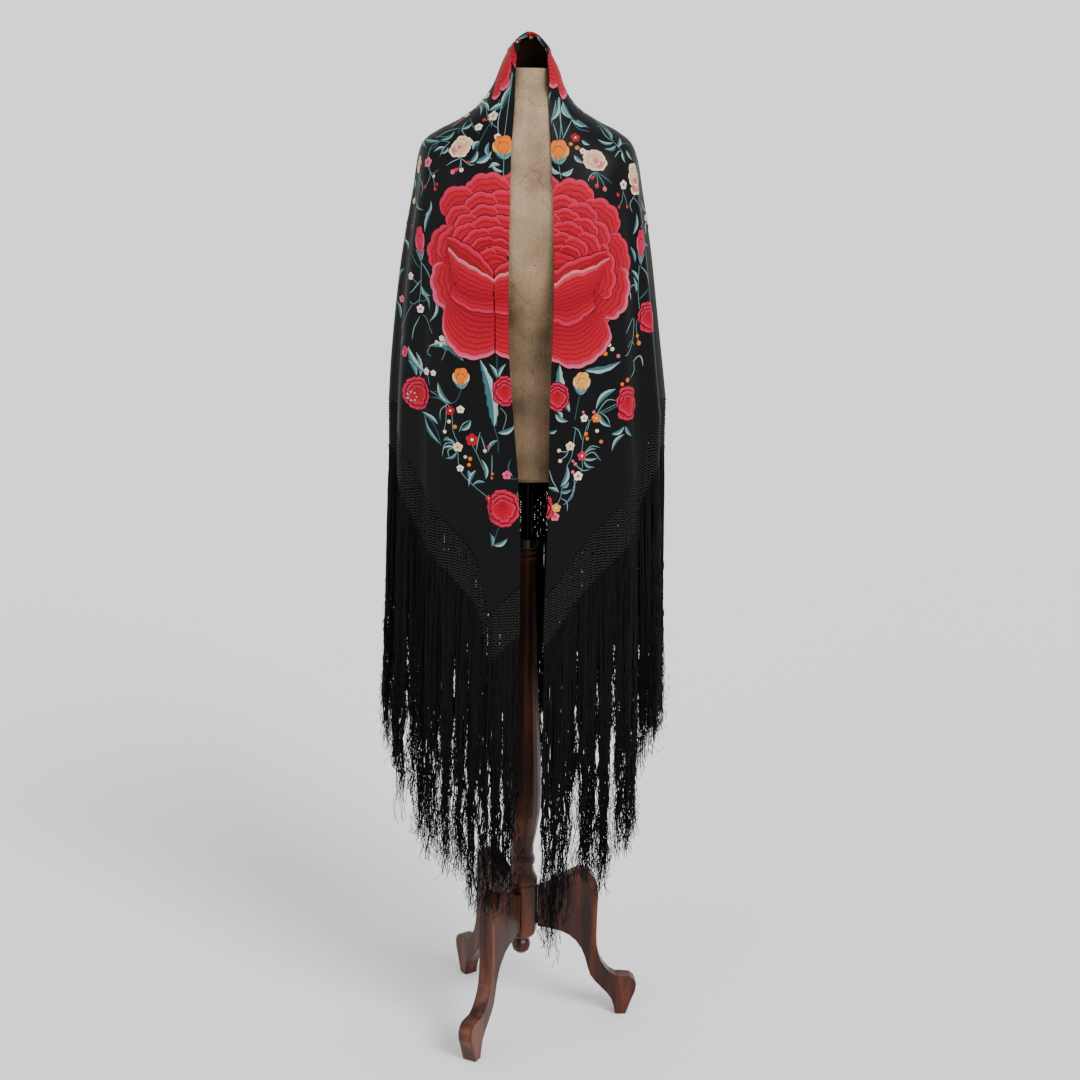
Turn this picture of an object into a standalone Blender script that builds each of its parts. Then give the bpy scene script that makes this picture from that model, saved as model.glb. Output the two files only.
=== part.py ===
"""Manila shawl on a dress form stand.

A square silk shawl, folded corner to corner, hangs from the neck and shoulders of a limbless
form, which stands on a turned column with three sawn legs. The fold runs round the neck and
down both front edges, so two corners hang in front and two lie over each other at the back.
A knotted net edges the cloth, and a fringe hangs from the net.

Metres, +Z up. The front faces -Y, and the origin is on the floor under the column.
A turn of 0 is the middle of the front, 90 the form's own right side (-X), 180 the back.
"""

import math
import random

import bmesh
import bpy
import numpy as np

# ------------------------------------------------------------------ driving sizes
NECK_TOP = 1.680
FORM_BASE = 1.020
COLUMN_TOP = 0.884
CLOTH_WALL = 0.0024  # two layers of embroidered silk, lying together
SEAM_GAP = 0.0003
SEAM_SLACK = 0.0001  # added on each side of a seam, because its two edges aren't parallel
BACKING_SLACK = 0.0007  # and over the backing, whose edge twists as it goes round the folds
FORM_CLEARANCE = 0.0013  # between the cloth and the shoulders that carry it
NET_DEPTH = 0.085
BACKING_DEPTH = 0.008  # the last row of knots, which the strands hang from
STRAND_PITCH = 0.0083
STRAND_WIDTH = 0.0052
FORM_SIDES = 48
SEED = 7

# ------------------------------------------------------------------ the drape
# One row for each ring of the cloth, from the fold at the neck to the hem.
RING_COLUMNS = (
    "middle",  # how far the ring hangs off the form's axis, to +X
    "half_width",
    "front",  # reach of the ring to the front, from the form's axis
    "back",
    "side_z",
    "front_z",
    "back_z",
    "open_left",  # from the axis to the edge of the front at -X
    "open_right",
    "square",  # exponent of the ring's superellipse
    "straight",  # 0 rises to the side like a sine, 1 like a straight line
)
RINGS = (
    (-0.0055, 0.0300, 0.050, 0.052, 1.712, 1.676, 1.737, 0.0230, 0.0225, 2.00, 0.00),
    (-0.0066, 0.0380, 0.056, 0.062, 1.698, 1.662, 1.722, 0.0264, 0.0231, 2.00, 0.00),
    (-0.0060, 0.0482, 0.062, 0.070, 1.677, 1.640, 1.697, 0.0279, 0.0241, 2.00, 0.00),
    (-0.0070, 0.0590, 0.070, 0.078, 1.650, 1.610, 1.664, 0.0283, 0.0257, 2.00, 0.00),
    (-0.0075, 0.0790, 0.082, 0.089, 1.622, 1.572, 1.622, 0.0306, 0.0279, 2.05, 0.00),
    (-0.0055, 0.1095, 0.095, 0.100, 1.600, 1.532, 1.580, 0.0325, 0.0305, 2.10, 0.00),
    (-0.0052, 0.1430, 0.107, 0.110, 1.583, 1.492, 1.540, 0.0329, 0.0326, 2.20, 0.00),
    (-0.0066, 0.1680, 0.117, 0.117, 1.564, 1.452, 1.497, 0.0332, 0.0343, 2.30, 0.00),
    (-0.0060, 0.1778, 0.124, 0.122, 1.536, 1.410, 1.450, 0.0336, 0.0359, 2.30, 0.05),
    (-0.0056, 0.1840, 0.128, 0.126, 1.490, 1.355, 1.400, 0.0339, 0.0371, 2.30, 0.15),
    (-0.0058, 0.1934, 0.131, 0.129, 1.432, 1.285, 1.340, 0.0331, 0.0379, 2.30, 0.25),
    (-0.0062, 0.2022, 0.133, 0.131, 1.372, 1.205, 1.270, 0.0308, 0.0362, 2.30, 0.35),
    (-0.0060, 0.2088, 0.134, 0.133, 1.314, 1.115, 1.195, 0.0230, 0.0345, 2.30, 0.45),
    (-0.0052, 0.2148, 0.134, 0.135, 1.258, 1.020, 1.115, 0.0151, 0.0344, 2.30, 0.55),
    (-0.0040, 0.2200, 0.134, 0.137, 1.204, 0.922, 1.030, 0.0107, 0.0328, 2.30, 0.60),
    (-0.0020, 0.2245, 0.134, 0.138, 1.150, 0.824, 0.930, 0.0103, 0.0307, 2.30, 0.65),
)
HEM_ROW = len(RINGS) - 1
COLLAR_ROW = 3  # where the turned-up collar ends and the fronts and back begin
HEM_SHAPE_FROM = 8.0  # the ring from which the hem's own line bends the rings above it
FOLD_GROWTH = 0.7  # exponent of a fold's growth from its first ring to the hem
TURN_STEP = 0.01  # radians, and rings, between the points that give a normal
ROW_STEP = 0.05

# The cloth's edge in each half of the shawl: turn, height.
HEM_LEFT = (
    (1.7, 0.850),
    (12.5, 0.800),
    (16.5, 0.884),
    (22.0, 0.920),
    (35.0, 0.966),
    (47.0, 0.998),
    (59.0, 1.052),
    (74.0, 1.122),
    (90.0, 1.150),
    (112.0, 1.118),
    (135.0, 1.055),
    (160.0, 0.980),
    (180.0, 0.930),
)
HEM_RIGHT = (
    (5.5, 0.824),
    (14.5, 0.880),
    (21.0, 0.918),
    (35.0, 0.968),
    (47.0, 0.998),
    (59.0, 1.062),
    (71.0, 1.130),
    (90.0, 1.150),
    (112.0, 1.122),
    (135.0, 1.060),
    (160.0, 0.985),
    (180.0, 0.930),
)

# Soft folds that run down the cloth: turn, half width in degrees, height (negative in a
# trough) and the ring at which the fold starts.
FOLDS_LEFT = (
    (7.0, 9.0, 0.0060, 11.0),
    (21.0, 7.0, -0.0040, 9.0),
    (34.0, 10.0, 0.0030, 7.0),
    (51.0, 9.0, -0.0055, 8.0),
    (64.0, 8.0, 0.0060, 7.0),
    (77.0, 8.0, -0.0090, 8.0),
    (89.0, 8.0, 0.0080, 7.0),
    (101.0, 8.0, -0.0100, 8.0),
    (113.0, 9.0, 0.0100, 7.0),
    (127.0, 9.0, -0.0090, 8.0),
    (141.0, 10.0, 0.0080, 7.0),
    (156.0, 9.0, -0.0070, 8.0),
    (170.0, 11.0, 0.0060, 9.0),
)
FOLDS_RIGHT = (
    (13.0, 9.0, 0.0030, 10.0),
    (27.0, 9.0, -0.0035, 8.0),
    (43.0, 10.0, 0.0040, 7.0),
    (58.0, 8.0, -0.0070, 8.0),
    (71.0, 8.0, 0.0070, 7.0),
    (83.0, 8.0, -0.0080, 8.0),
    (95.0, 8.0, 0.0090, 7.0),
    (108.0, 9.0, -0.0100, 8.0),
    (121.0, 9.0, 0.0090, 7.0),
    (135.0, 10.0, -0.0090, 8.0),
    (149.0, 9.0, 0.0070, 7.0),
    (163.0, 9.0, -0.0060, 8.5),
)

# Turns of the columns of points, at the hem, from each front edge to the back.
COLUMNS_LEFT = (
    1.7, 7.0, 12.5, 16.5, 21.0, 27.0, 34.0, 40.0, 46.0, 52.0, 58.0, 64.0, 70.5, 77.0, 83.0,
    90.0, 96.0, 102.0, 108.0, 114.0, 120.0, 127.0, 134.0, 141.0, 148.0, 156.0, 164.0, 172.0,
    180.0,
)  # fmt: skip
COLUMNS_RIGHT = (
    5.5, 13.0, 20.0, 27.0, 35.0, 43.0, 50.0, 57.0, 64.0, 71.0, 77.0, 83.0, 90.0, 96.0, 102.0,
    108.0, 114.0, 121.0, 128.0, 135.0, 142.0, 149.0, 156.0, 163.0, 171.0, 180.0,
)  # fmt: skip
SIDE_TURN = 90.0

# The ends of the fringe: turn, height.
ENDS_LEFT = (
    (1.7, 0.315),
    (12.0, 0.300),
    (18.0, 0.300),
    (26.0, 0.350),
    (34.0, 0.395),
    (43.0, 0.385),
    (52.0, 0.450),
    (62.0, 0.510),
    (74.0, 0.560),
    (90.0, 0.580),
    (120.0, 0.560),
    (150.0, 0.460),
    (180.0, 0.360),
)
ENDS_RIGHT = (
    (5.5, 0.235),
    (13.0, 0.215),
    (19.0, 0.330),
    (27.0, 0.345),
    (34.0, 0.355),
    (43.0, 0.395),
    (52.0, 0.430),
    (60.0, 0.520),
    (72.0, 0.595),
    (90.0, 0.590),
    (120.0, 0.560),
    (150.0, 0.460),
    (180.0, 0.360),
)
STRAND_LEVELS = (0.45, 0.8, 1.0)  # shares of a strand's length at which it bends
STRAND_SWAY = 0.0035  # how far a strand swings in or out
STRAND_DRIFT = 0.0008  # how far it leans towards a neighbour
STRAND_TIP = 0.55  # the tip's share of its width
STRAND_FLARE = 0.012  # how far the fringe at the sides stands out at its tips
END_SCATTER = 0.022

# ------------------------------------------------------------------ the form and its stand
FORM_MIDDLE = -0.006  # the form stands a little to -X of its tube
FORM_ROWS = (3, 4, 5, 6, 7, 8)  # rings of the cloth that lie on the form
# Rings of the form itself: half width, front and back reach, side, front and back height.
FORM_NECK = (
    (0.0400, 0.0400, 0.0420, NECK_TOP, NECK_TOP, NECK_TOP),
    (0.0430, 0.0430, 0.0450, NECK_TOP - 0.003, NECK_TOP - 0.003, NECK_TOP - 0.003),
    (0.0455, 0.0500, 0.0560, 1.658, 1.645, 1.665),
)
FORM_BODY = (
    (0.158, 0.121, 0.114, 1.455, 1.365, 1.385),
    (0.143, 0.116, 0.108, 1.365, 1.320, 1.330),
    (0.124, 0.100, 0.096, 1.280, 1.260, 1.265),
    (0.112, 0.088, 0.088, 1.200, 1.200, 1.200),
    (0.124, 0.095, 0.100, 1.130, 1.130, 1.130),
    (0.139, 0.104, 0.112, 1.070, 1.070, 1.070),
    (0.143, 0.107, 0.115, FORM_BASE + 0.006, FORM_BASE + 0.006, FORM_BASE + 0.006),
    (0.138, 0.102, 0.110, FORM_BASE, FORM_BASE, FORM_BASE),
)

TUBE_RADIUS = 0.0104
FERRULE_RADIUS = 0.0196
FERRULE_HEIGHT = 0.018
FERRULE_EDGE = 0.0015
HUB_TOP = 0.2500
HUB_BASE = 0.1560
# Radius and height of each turned piece, from the top down.
COLUMN_PROFILE = (
    (0.0165, COLUMN_TOP),
    (0.0185, 0.8785),
    (0.0163, 0.8735),
    (0.0185, 0.8685),
    (0.0163, 0.8630),
    (0.0172, 0.8500),
    (0.0178, 0.7800),
    (0.0205, 0.6950),
    (0.0250, 0.6050),
    (0.0300, 0.5000),
    (0.0325, 0.4350),
    (0.0310, 0.3950),
    (0.0245, 0.3550),
    (0.0202, 0.3330),
    (0.0203, 0.3170),
    (0.0232, 0.3080),
    (0.0232, 0.3010),
    (0.0203, 0.2950),
    (0.0215, 0.2830),
    (0.0285, 0.2690),
    (0.0285, 0.2640),
    (0.0262, 0.2620),
    (0.0285, 0.2590),
    (0.0285, HUB_TOP + SEAM_GAP),
)
HUB_APOTHEM = 0.0282
HUB_PROFILE = (
    (0.0282, HUB_TOP),
    (0.0282, 0.1730),
    (0.0260, 0.1630),
    (0.0200, HUB_BASE),
)
FINIAL_PROFILE = (
    (0.0125, HUB_BASE - SEAM_GAP),
    (0.0125, 0.1515),
    (0.0160, 0.1460),
    (0.0175, 0.1385),
    (0.0150, 0.1290),
    (0.0080, 0.1225),
)
COLUMN_STEPS = 20
HUB_STEPS = 12

LEG_THICKNESS = 0.026
LEG_EDGE = 0.006  # radius of its rounded edges
LEG_YAWS = (("leg_right", 3.0), ("leg_back", 123.0), ("leg_front", 243.0))
LEG_ROOT = HUB_APOTHEM + SEAM_GAP
# Outline of a leg: distance from the column's axis, height, and whether it is a corner.
LEG_OUTLINE = (
    (LEG_ROOT, 0.2480, True),
    (0.0480, 0.2570, False),
    (0.0900, 0.2810, False),
    (0.1085, 0.2870, False),
    (0.1250, 0.2780, False),
    (0.1360, 0.2570, False),
    (0.1375, 0.2200, False),
    (0.1365, 0.1600, False),
    (0.1405, 0.1220, False),
    (0.1530, 0.0950, False),
    (0.1735, 0.0770, False),
    (0.2000, 0.0750, False),
    (0.2115, 0.0600, False),
    (0.2040, 0.0310, False),
    (0.1930, 0.0000, True),
    (0.1740, 0.0000, True),
    (0.1660, 0.0310, False),
    (0.1460, 0.0550, False),
    (0.1265, 0.0790, False),
    (0.1160, 0.1150, False),
    (0.0990, 0.1480, False),
    (0.0700, 0.1680, False),
    (LEG_ROOT, 0.1780, True),
)

COLLECTION = "manila_shawl_on_stand"
MERGE = 0.0001  # points of a turned or sawn piece closer than this are one


# ------------------------------------------------------------------ helpers
def clear_scene():
    for obj in list(bpy.data.objects):
        bpy.data.objects.remove(obj, do_unlink=True)


def material(name, colour, roughness, metallic=0.0):
    mat = bpy.data.materials.new(name)
    mat.use_nodes = True
    shader = mat.node_tree.nodes["Principled BSDF"]
    shader.inputs["Base Color"].default_value = (*colour, 1.0)
    shader.inputs["Roughness"].default_value = roughness
    shader.inputs["Metallic"].default_value = metallic
    mat.diffuse_color = (*colour, 1.0)
    return mat


def add_object(name, data, mat):
    obj = bpy.data.objects.new(name, data)
    obj.data.materials.append(mat)
    bpy.data.collections[COLLECTION].objects.link(obj)
    return obj


def mesh_object(name, points, faces, mat, smooth_angle=40.0):
    """A closed mesh of these points and faces, its normals turned outwards."""
    mesh = bpy.data.meshes.new(name)
    mesh.from_pydata([tuple(p) for p in points], [], faces)
    shape = bmesh.new()
    shape.from_mesh(mesh)
    bmesh.ops.recalc_face_normals(shape, faces=shape.faces)
    shape.to_mesh(mesh)
    shape.free()
    mesh.shade_smooth()
    mesh.set_sharp_from_angle(angle=math.radians(smooth_angle))
    return add_object(name, mesh, mat)


def turned(name, profile, steps, mat, hollow=False):
    """A turned solid, its profile closed on the axis or, when hollow, on itself."""
    if hollow:
        line = profile
        edges = [(i, (i + 1) % len(line)) for i in range(len(line))]
    else:
        line = [(0.0, profile[0][1]), *profile, (0.0, profile[-1][1])]
        edges = [(i, i + 1) for i in range(len(line) - 1)]
    mesh = bpy.data.meshes.new(name)
    mesh.from_pydata([(radius, 0.0, z) for radius, z in line], edges, [])
    obj = add_object(name, mesh, mat)
    screw = obj.modifiers.new("turn", "SCREW")
    screw.steps = steps
    screw.render_steps = steps
    screw.use_merge_vertices = True
    screw.merge_threshold = MERGE


def columns_at(table, place):
    """Each column of a table at a place between its rows, on a smooth curve through them."""
    rows = np.asarray(table, float)
    last = len(rows) - 1
    low = np.clip(np.floor(place).astype(int), 0, last - 1)
    t = (place - low)[..., None]
    before, start = rows[np.maximum(low - 1, 0)], rows[low]
    end, after = rows[low + 1], rows[np.minimum(low + 2, last)]
    value = start + 0.5 * t * (
        end
        - before
        + t * (2 * before - 5 * start + 4 * end - after + t * (3 * (start - end) + after - before))
    )
    return np.moveaxis(value, -1, 0)


def by_turn(left, right, turn):
    """A height read at a turn of 0 to 360 degrees, from the table of the half it is in."""
    left, right = np.asarray(left), np.asarray(right)
    return np.where(
        turn <= 180.0,
        np.interp(turn, left[:, 0], left[:, 1]),
        np.interp(360.0 - turn, right[:, 0], right[:, 1]),
    )


# ------------------------------------------------------------------ the cloth's surface
def ring_height(turn, ring):
    """Height of a ring at a turn, from its heights at the front, sides and back."""
    quarter = 1.0 - np.abs(np.mod(turn, math.pi) / (math.pi / 2) - 1.0)
    straight = ring["straight"]
    rise = (1.0 - straight) * np.sin(quarter * math.pi / 2) + straight * quarter
    end = np.where(np.cos(turn) > 0, ring["front_z"], ring["back_z"])
    return end + (ring["side_z"] - end) * rise


def fold_height(turn, row):
    """How far the folds lift the cloth off its smooth ring."""
    degrees = np.degrees(turn)
    total = np.zeros(np.broadcast(turn, row).shape)
    folds = list(FOLDS_LEFT) + [(360.0 - t, w, h, r) for t, w, h, r in FOLDS_RIGHT]
    for place, half_width, height, from_row in folds:
        away = np.clip(np.abs(degrees - place) / half_width, 0.0, 1.0)
        grown = np.clip((row - from_row) / (HEM_ROW - from_row), 0.0, 1.0)
        total = total + height * (0.5 + 0.5 * np.cos(math.pi * away)) * grown**FOLD_GROWTH
    return total


def drape_face(turn, row):
    """Outer face of the cloth at a turn in radians and a row between 0 and HEM_ROW."""
    turn, row = np.broadcast_arrays(np.asarray(turn, float), np.asarray(row, float))
    ring = dict(zip(RING_COLUMNS, columns_at(RINGS, row)))
    hem = dict(zip(RING_COLUMNS, RINGS[HEM_ROW]))
    side, fore = np.sin(turn), np.cos(turn)
    power = 2.0 / ring["square"]
    depth = np.where(fore > 0, ring["front"], ring["back"])
    x = -ring["half_width"] * np.sign(side) * np.abs(side) ** power
    y = -depth * np.sign(fore) * np.abs(fore) ** power
    bend = np.clip((row - HEM_SHAPE_FROM) / (HEM_ROW - HEM_SHAPE_FROM), 0.0, 1.0) ** 2
    hem_z = by_turn(HEM_LEFT, HEM_RIGHT, np.degrees(turn))
    z = ring_height(turn, ring) + bend * (hem_z - ring_height(turn, hem))
    out = np.stack([x / ring["half_width"] ** 2, y / depth**2], axis=-1)
    out /= np.linalg.norm(out, axis=-1, keepdims=True)
    lift = fold_height(turn, row)
    x = x + ring["middle"] + out[..., 0] * lift
    return np.stack([x, y + out[..., 1] * lift, z], axis=-1)


def drape_normal(turn, row):
    """Unit vector out of the cloth, from points a little to each side."""
    across = drape_face(turn + TURN_STEP, row) - drape_face(turn - TURN_STEP, row)
    above = drape_face(turn, np.clip(row - ROW_STEP, 0, HEM_ROW))
    below = drape_face(turn, np.clip(row + ROW_STEP, 0, HEM_ROW))
    normal = np.cross(across, below - above)
    return normal / np.linalg.norm(normal, axis=-1, keepdims=True)


def front_edges(row):
    """Turns, in radians, of the two front edges at a row."""
    ring = dict(zip(RING_COLUMNS, columns_at(RINGS, row)))
    left, right = (
        np.arcsin((reach / ring["half_width"]) ** (ring["square"] / 2))
        for reach in (ring["open_left"] + ring["middle"], ring["open_right"] - ring["middle"])
    )
    return left, 2 * math.pi - right


def cloth_grid():
    """Outer points, inner points and turns of the cloth: a row for each ring."""
    rows = np.arange(HEM_ROW + 1, dtype=float)
    left, right = front_edges(rows)
    to_left = (np.array(COLUMNS_LEFT) - COLUMNS_LEFT[0]) / (180.0 - COLUMNS_LEFT[0])
    to_right = (np.array(COLUMNS_RIGHT) - COLUMNS_RIGHT[0]) / (180.0 - COLUMNS_RIGHT[0])
    half_left = left[:, None] + (math.pi - left[:, None]) * to_left
    half_right = right[:, None] + (math.pi - right[:, None]) * to_right
    turns = np.concatenate([half_left, half_right[:, -2::-1]], axis=1)
    row = np.broadcast_to(rows[:, None], turns.shape)
    outer = drape_face(turns, row)
    normal = drape_normal(turns, row)
    normal[HEM_ROW, :, 2] = 0.0  # the net hangs straight down from the hem
    normal[HEM_ROW] /= np.linalg.norm(normal[HEM_ROW], axis=-1, keepdims=True)
    inner = outer - CLOTH_WALL * normal
    return outer, inner, np.degrees(turns)


def pulled_in(grid, edges):
    """The grid with these edges drawn back half a seam's gap."""
    grid = grid.copy()
    half_gap = 0.5 * SEAM_GAP + SEAM_SLACK
    for edge in edges:
        line, beside = {
            "top": (np.s_[0], np.s_[1]),
            "bottom": (np.s_[-1], np.s_[-2]),
            "first": (np.s_[:, 0], np.s_[:, 1]),
            "last": (np.s_[:, -1], np.s_[:, -2]),
        }[edge]
        way = grid[beside] - grid[line]
        way = way / np.linalg.norm(way, axis=-1, keepdims=True)
        grid[line] = grid[line] + way * half_gap
    return grid


def rim_faces(outer_a, outer_b, inner_a, inner_b):
    """Two triangles over an edge of a wall, cut the same way on both sides of a seam."""
    return [(outer_a, outer_b, inner_a), (outer_b, inner_b, inner_a)]


def wall(name, outer, inner, mat):
    """A closed wall between two grids of points."""
    rows, cols = outer.shape[:2]
    count = rows * cols
    points = np.concatenate([outer.reshape(-1, 3), inner.reshape(-1, 3)])

    def at(r, c):
        return r * cols + c

    faces = []
    for r in range(rows - 1):
        for c in range(cols - 1):
            quad = (at(r, c), at(r, c + 1), at(r + 1, c + 1), at(r + 1, c))
            faces.append(quad)
            faces.append(tuple(count + i for i in reversed(quad)))
    rim = [(at(r, c), at(r, c + 1)) for r in (0, rows - 1) for c in range(cols - 1)]
    rim += [(at(r, c), at(r + 1, c)) for c in (0, cols - 1) for r in range(rows - 1)]
    for a, b in rim:
        faces += rim_faces(a, b, count + a, count + b)
    return mesh_object(name, points, faces, mat)


# ------------------------------------------------------------------ net and fringe
def seam_drop(outer, inner):
    """How far down a piece starts to stand clear of an edge, further where the edge is steep."""
    steepest = np.zeros(len(outer))
    for line in (outer, inner):
        steps = np.diff(line, axis=0)
        slope = np.abs(steps[:, 2]) / np.linalg.norm(steps[:, :2], axis=1)
        steepest = np.maximum(steepest, np.append(slope, 0.0))
        steepest = np.maximum(steepest, np.append(0.0, slope))
    return (SEAM_GAP + 0.5 * SEAM_SLACK) * np.sqrt(1.0 + steepest**2)


def lowered(line, drop):
    moved = line.copy()
    moved[:, 2] -= drop
    return moved


def net(name, outer, inner, mat):
    """The knotted net: a thin wall that hangs from a stretch of the hem."""
    seam = seam_drop(outer, inner)
    tops = [lowered(line, seam) for line in (outer, inner)]
    ends = [lowered(line, NET_DEPTH) for line in (outer, inner)]
    grids = [np.stack([t, 0.5 * (t + e), e]) for t, e in zip(tops, ends)]
    grids = [pulled_in(grid, ("first", "last")) for grid in grids]
    return wall(name, *grids, mat)


def strand_tube(corners, end_z, lean, sway, points, faces):
    """Hangs a strand from four corners, given as indices round a gap in the backing."""
    root = np.array([points[i] for i in corners])
    middle = root.mean(axis=0)
    along = root[1] - root[0]
    along /= np.linalg.norm(along[:2])
    out = np.array([along[1], -along[0], 0.0])
    along[2] = 0.0
    away = middle * (1.0, 1.0, 0.0) / np.linalg.norm(middle[:2])
    flare = away * abs(away[0]) * STRAND_FLARE
    ring = list(corners)
    for level in STRAND_LEVELS:
        width = 1.0 + (STRAND_TIP - 1.0) * level
        moved = middle + (root - middle) * width
        moved = moved + (along * lean + flare) * level + out * sway * math.sin(math.pi * level)
        moved[:, 2] = middle[2] + (end_z - middle[2]) * level
        start = len(points)
        points.extend(moved)
        below = list(range(start, start + 4))
        for k in range(4):
            after = (k + 1) % 4
            faces.append((ring[k], ring[after], below[after], below[k]))
        ring = below
    faces.append(tuple(ring))


def fringe(name, outer, inner, turns, chance, mat):
    """A backing strip under the net with its strands, all one solid."""
    flat = np.linalg.norm(np.diff(outer[:, :2], axis=0), axis=1)
    run = np.concatenate([[0.0], np.cumsum(flat)])
    margin = 0.5 * SEAM_GAP + SEAM_SLACK
    room = run[-1] - 2 * margin - STRAND_WIDTH
    count = int(room / STRAND_PITCH) + 1
    starts = margin + np.arange(count) * room / (count - 1)
    places = np.stack([starts, starts + STRAND_WIDTH], axis=1).reshape(-1)
    for corner in run[1:-1]:
        places[np.argmin(np.abs(places - corner))] = corner

    def read(line):
        return np.stack([np.interp(places, run, line[:, k]) for k in range(3)], axis=1)

    start = NET_DEPTH + BACKING_SLACK + seam_drop(outer, inner)
    tops = [read(lowered(line, start)) for line in (outer, inner)]
    ends = [read(lowered(line, start + BACKING_DEPTH)) for line in (outer, inner)]
    points = [p for line in (*tops, *ends) for p in line]
    n = len(places)
    faces = []
    for i in range(n - 1):
        top_out, top_in, low_out, low_in = (k * n + i for k in range(4))
        faces.append((top_out, top_out + 1, low_out + 1, low_out))
        faces.append((top_in + 1, top_in, low_in, low_in + 1))
        faces += rim_faces(top_out, top_out + 1, top_in, top_in + 1)
        corners = (low_out, low_out + 1, low_in + 1, low_in)
        if i % 2:
            faces.append(corners)
            continue
        turn = float(np.interp(places[i], run, turns))
        end_z = float(by_turn(ENDS_LEFT, ENDS_RIGHT, np.array(turn)))
        end_z += chance.uniform(-END_SCATTER, END_SCATTER)
        lean = chance.uniform(-STRAND_DRIFT, STRAND_DRIFT)
        sway = chance.uniform(-STRAND_SWAY, STRAND_SWAY)
        strand_tube(corners, end_z, lean, sway, points, faces)
    for i in (0, n - 1):
        faces.append((i, n + i, 3 * n + i, 2 * n + i))
    return mesh_object(name, points, faces, mat)


# ------------------------------------------------------------------ form and stand
def form_ring(half_width, front, back, side_z, front_z, back_z):
    turns = np.linspace(0.0, 2 * math.pi, FORM_SIDES, endpoint=False)
    ring = dict(side_z=side_z, front_z=front_z, back_z=back_z, straight=0.0)
    depth = np.where(np.cos(turns) > 0, front, back)
    z = ring_height(turns, ring)
    x = FORM_MIDDLE - half_width * np.sin(turns)
    return np.stack([x, -depth * np.cos(turns), z], axis=-1)


def dress_form(mat):
    """The form: its shoulders lie just under the cloth, and its neck and base are flat."""
    turns = np.linspace(0.0, 2 * math.pi, FORM_SIDES, endpoint=False)
    under = CLOTH_WALL + FORM_CLEARANCE
    rings = [form_ring(*row) for row in FORM_NECK]
    for row in FORM_ROWS:
        place = np.full(FORM_SIDES, float(row))
        rings.append(drape_face(turns, place) - under * drape_normal(turns, place))
    rings += [form_ring(*row) for row in FORM_BODY]
    faces = [tuple(range(FORM_SIDES))]
    for r in range(len(rings) - 1):
        for c in range(FORM_SIDES):
            d = (c + 1) % FORM_SIDES
            a, b = r * FORM_SIDES, (r + 1) * FORM_SIDES
            faces.append((a + c, a + d, b + d, b + c))
    last = (len(rings) - 1) * FORM_SIDES
    faces.append(tuple(range(last + FORM_SIDES - 1, last - 1, -1)))
    return mesh_object("dress_form", np.concatenate(rings), faces, mat)


def tube_and_ferrule(tube_mat, ferrule_mat):
    """The black tube from the column to the form, and the metal ring round its foot."""
    foot = COLUMN_TOP + SEAM_GAP
    top = FORM_BASE - SEAM_GAP
    turned("form_tube", ((TUBE_RADIUS, top), (TUBE_RADIUS, foot)), COLUMN_STEPS, tube_mat)
    inside = TUBE_RADIUS + SEAM_GAP
    top = foot + FERRULE_HEIGHT
    line = (
        (inside, top),
        (FERRULE_RADIUS - FERRULE_EDGE, top),
        (FERRULE_RADIUS, top - FERRULE_EDGE),
        (FERRULE_RADIUS, foot + FERRULE_EDGE),
        (FERRULE_RADIUS - FERRULE_EDGE, foot),
        (inside, foot),
    )
    turned("ferrule", line, COLUMN_STEPS, ferrule_mat, hollow=True)


def leg(name, yaw, mat):
    """A leg sawn from a board, its edges rounded."""
    curve = bpy.data.curves.new(name, "CURVE")
    curve.dimensions = "2D"
    curve.fill_mode = "BOTH"
    curve.extrude = LEG_THICKNESS / 2
    curve.resolution_u = 2
    spline = curve.splines.new("BEZIER")
    spline.bezier_points.add(len(LEG_OUTLINE) - 1)
    for point, (reach, height, corner) in zip(spline.bezier_points, LEG_OUTLINE):
        point.co = (reach, height, 0.0)
        kind = "VECTOR" if corner else "AUTO"
        point.handle_left_type = kind
        point.handle_right_type = kind
    spline.use_cyclic_u = True
    obj = add_object(name, curve, mat)
    obj.rotation_euler = (math.pi / 2, 0.0, math.radians(yaw))
    weld = obj.modifiers.new("weld", "WELD")
    weld.merge_threshold = MERGE
    bevel = obj.modifiers.new("rounded_edges", "BEVEL")
    bevel.width = LEG_EDGE
    bevel.segments = 2
    bevel.limit_method = "ANGLE"
    bevel.angle_limit = math.radians(50.0)


def stand(wood):
    turned("column", COLUMN_PROFILE, COLUMN_STEPS, wood)
    turned("hub", HUB_PROFILE, HUB_STEPS, wood)
    turned("finial", FINIAL_PROFILE, HUB_STEPS, wood)
    for name, yaw in LEG_YAWS:
        leg(name, yaw, wood)


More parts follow.
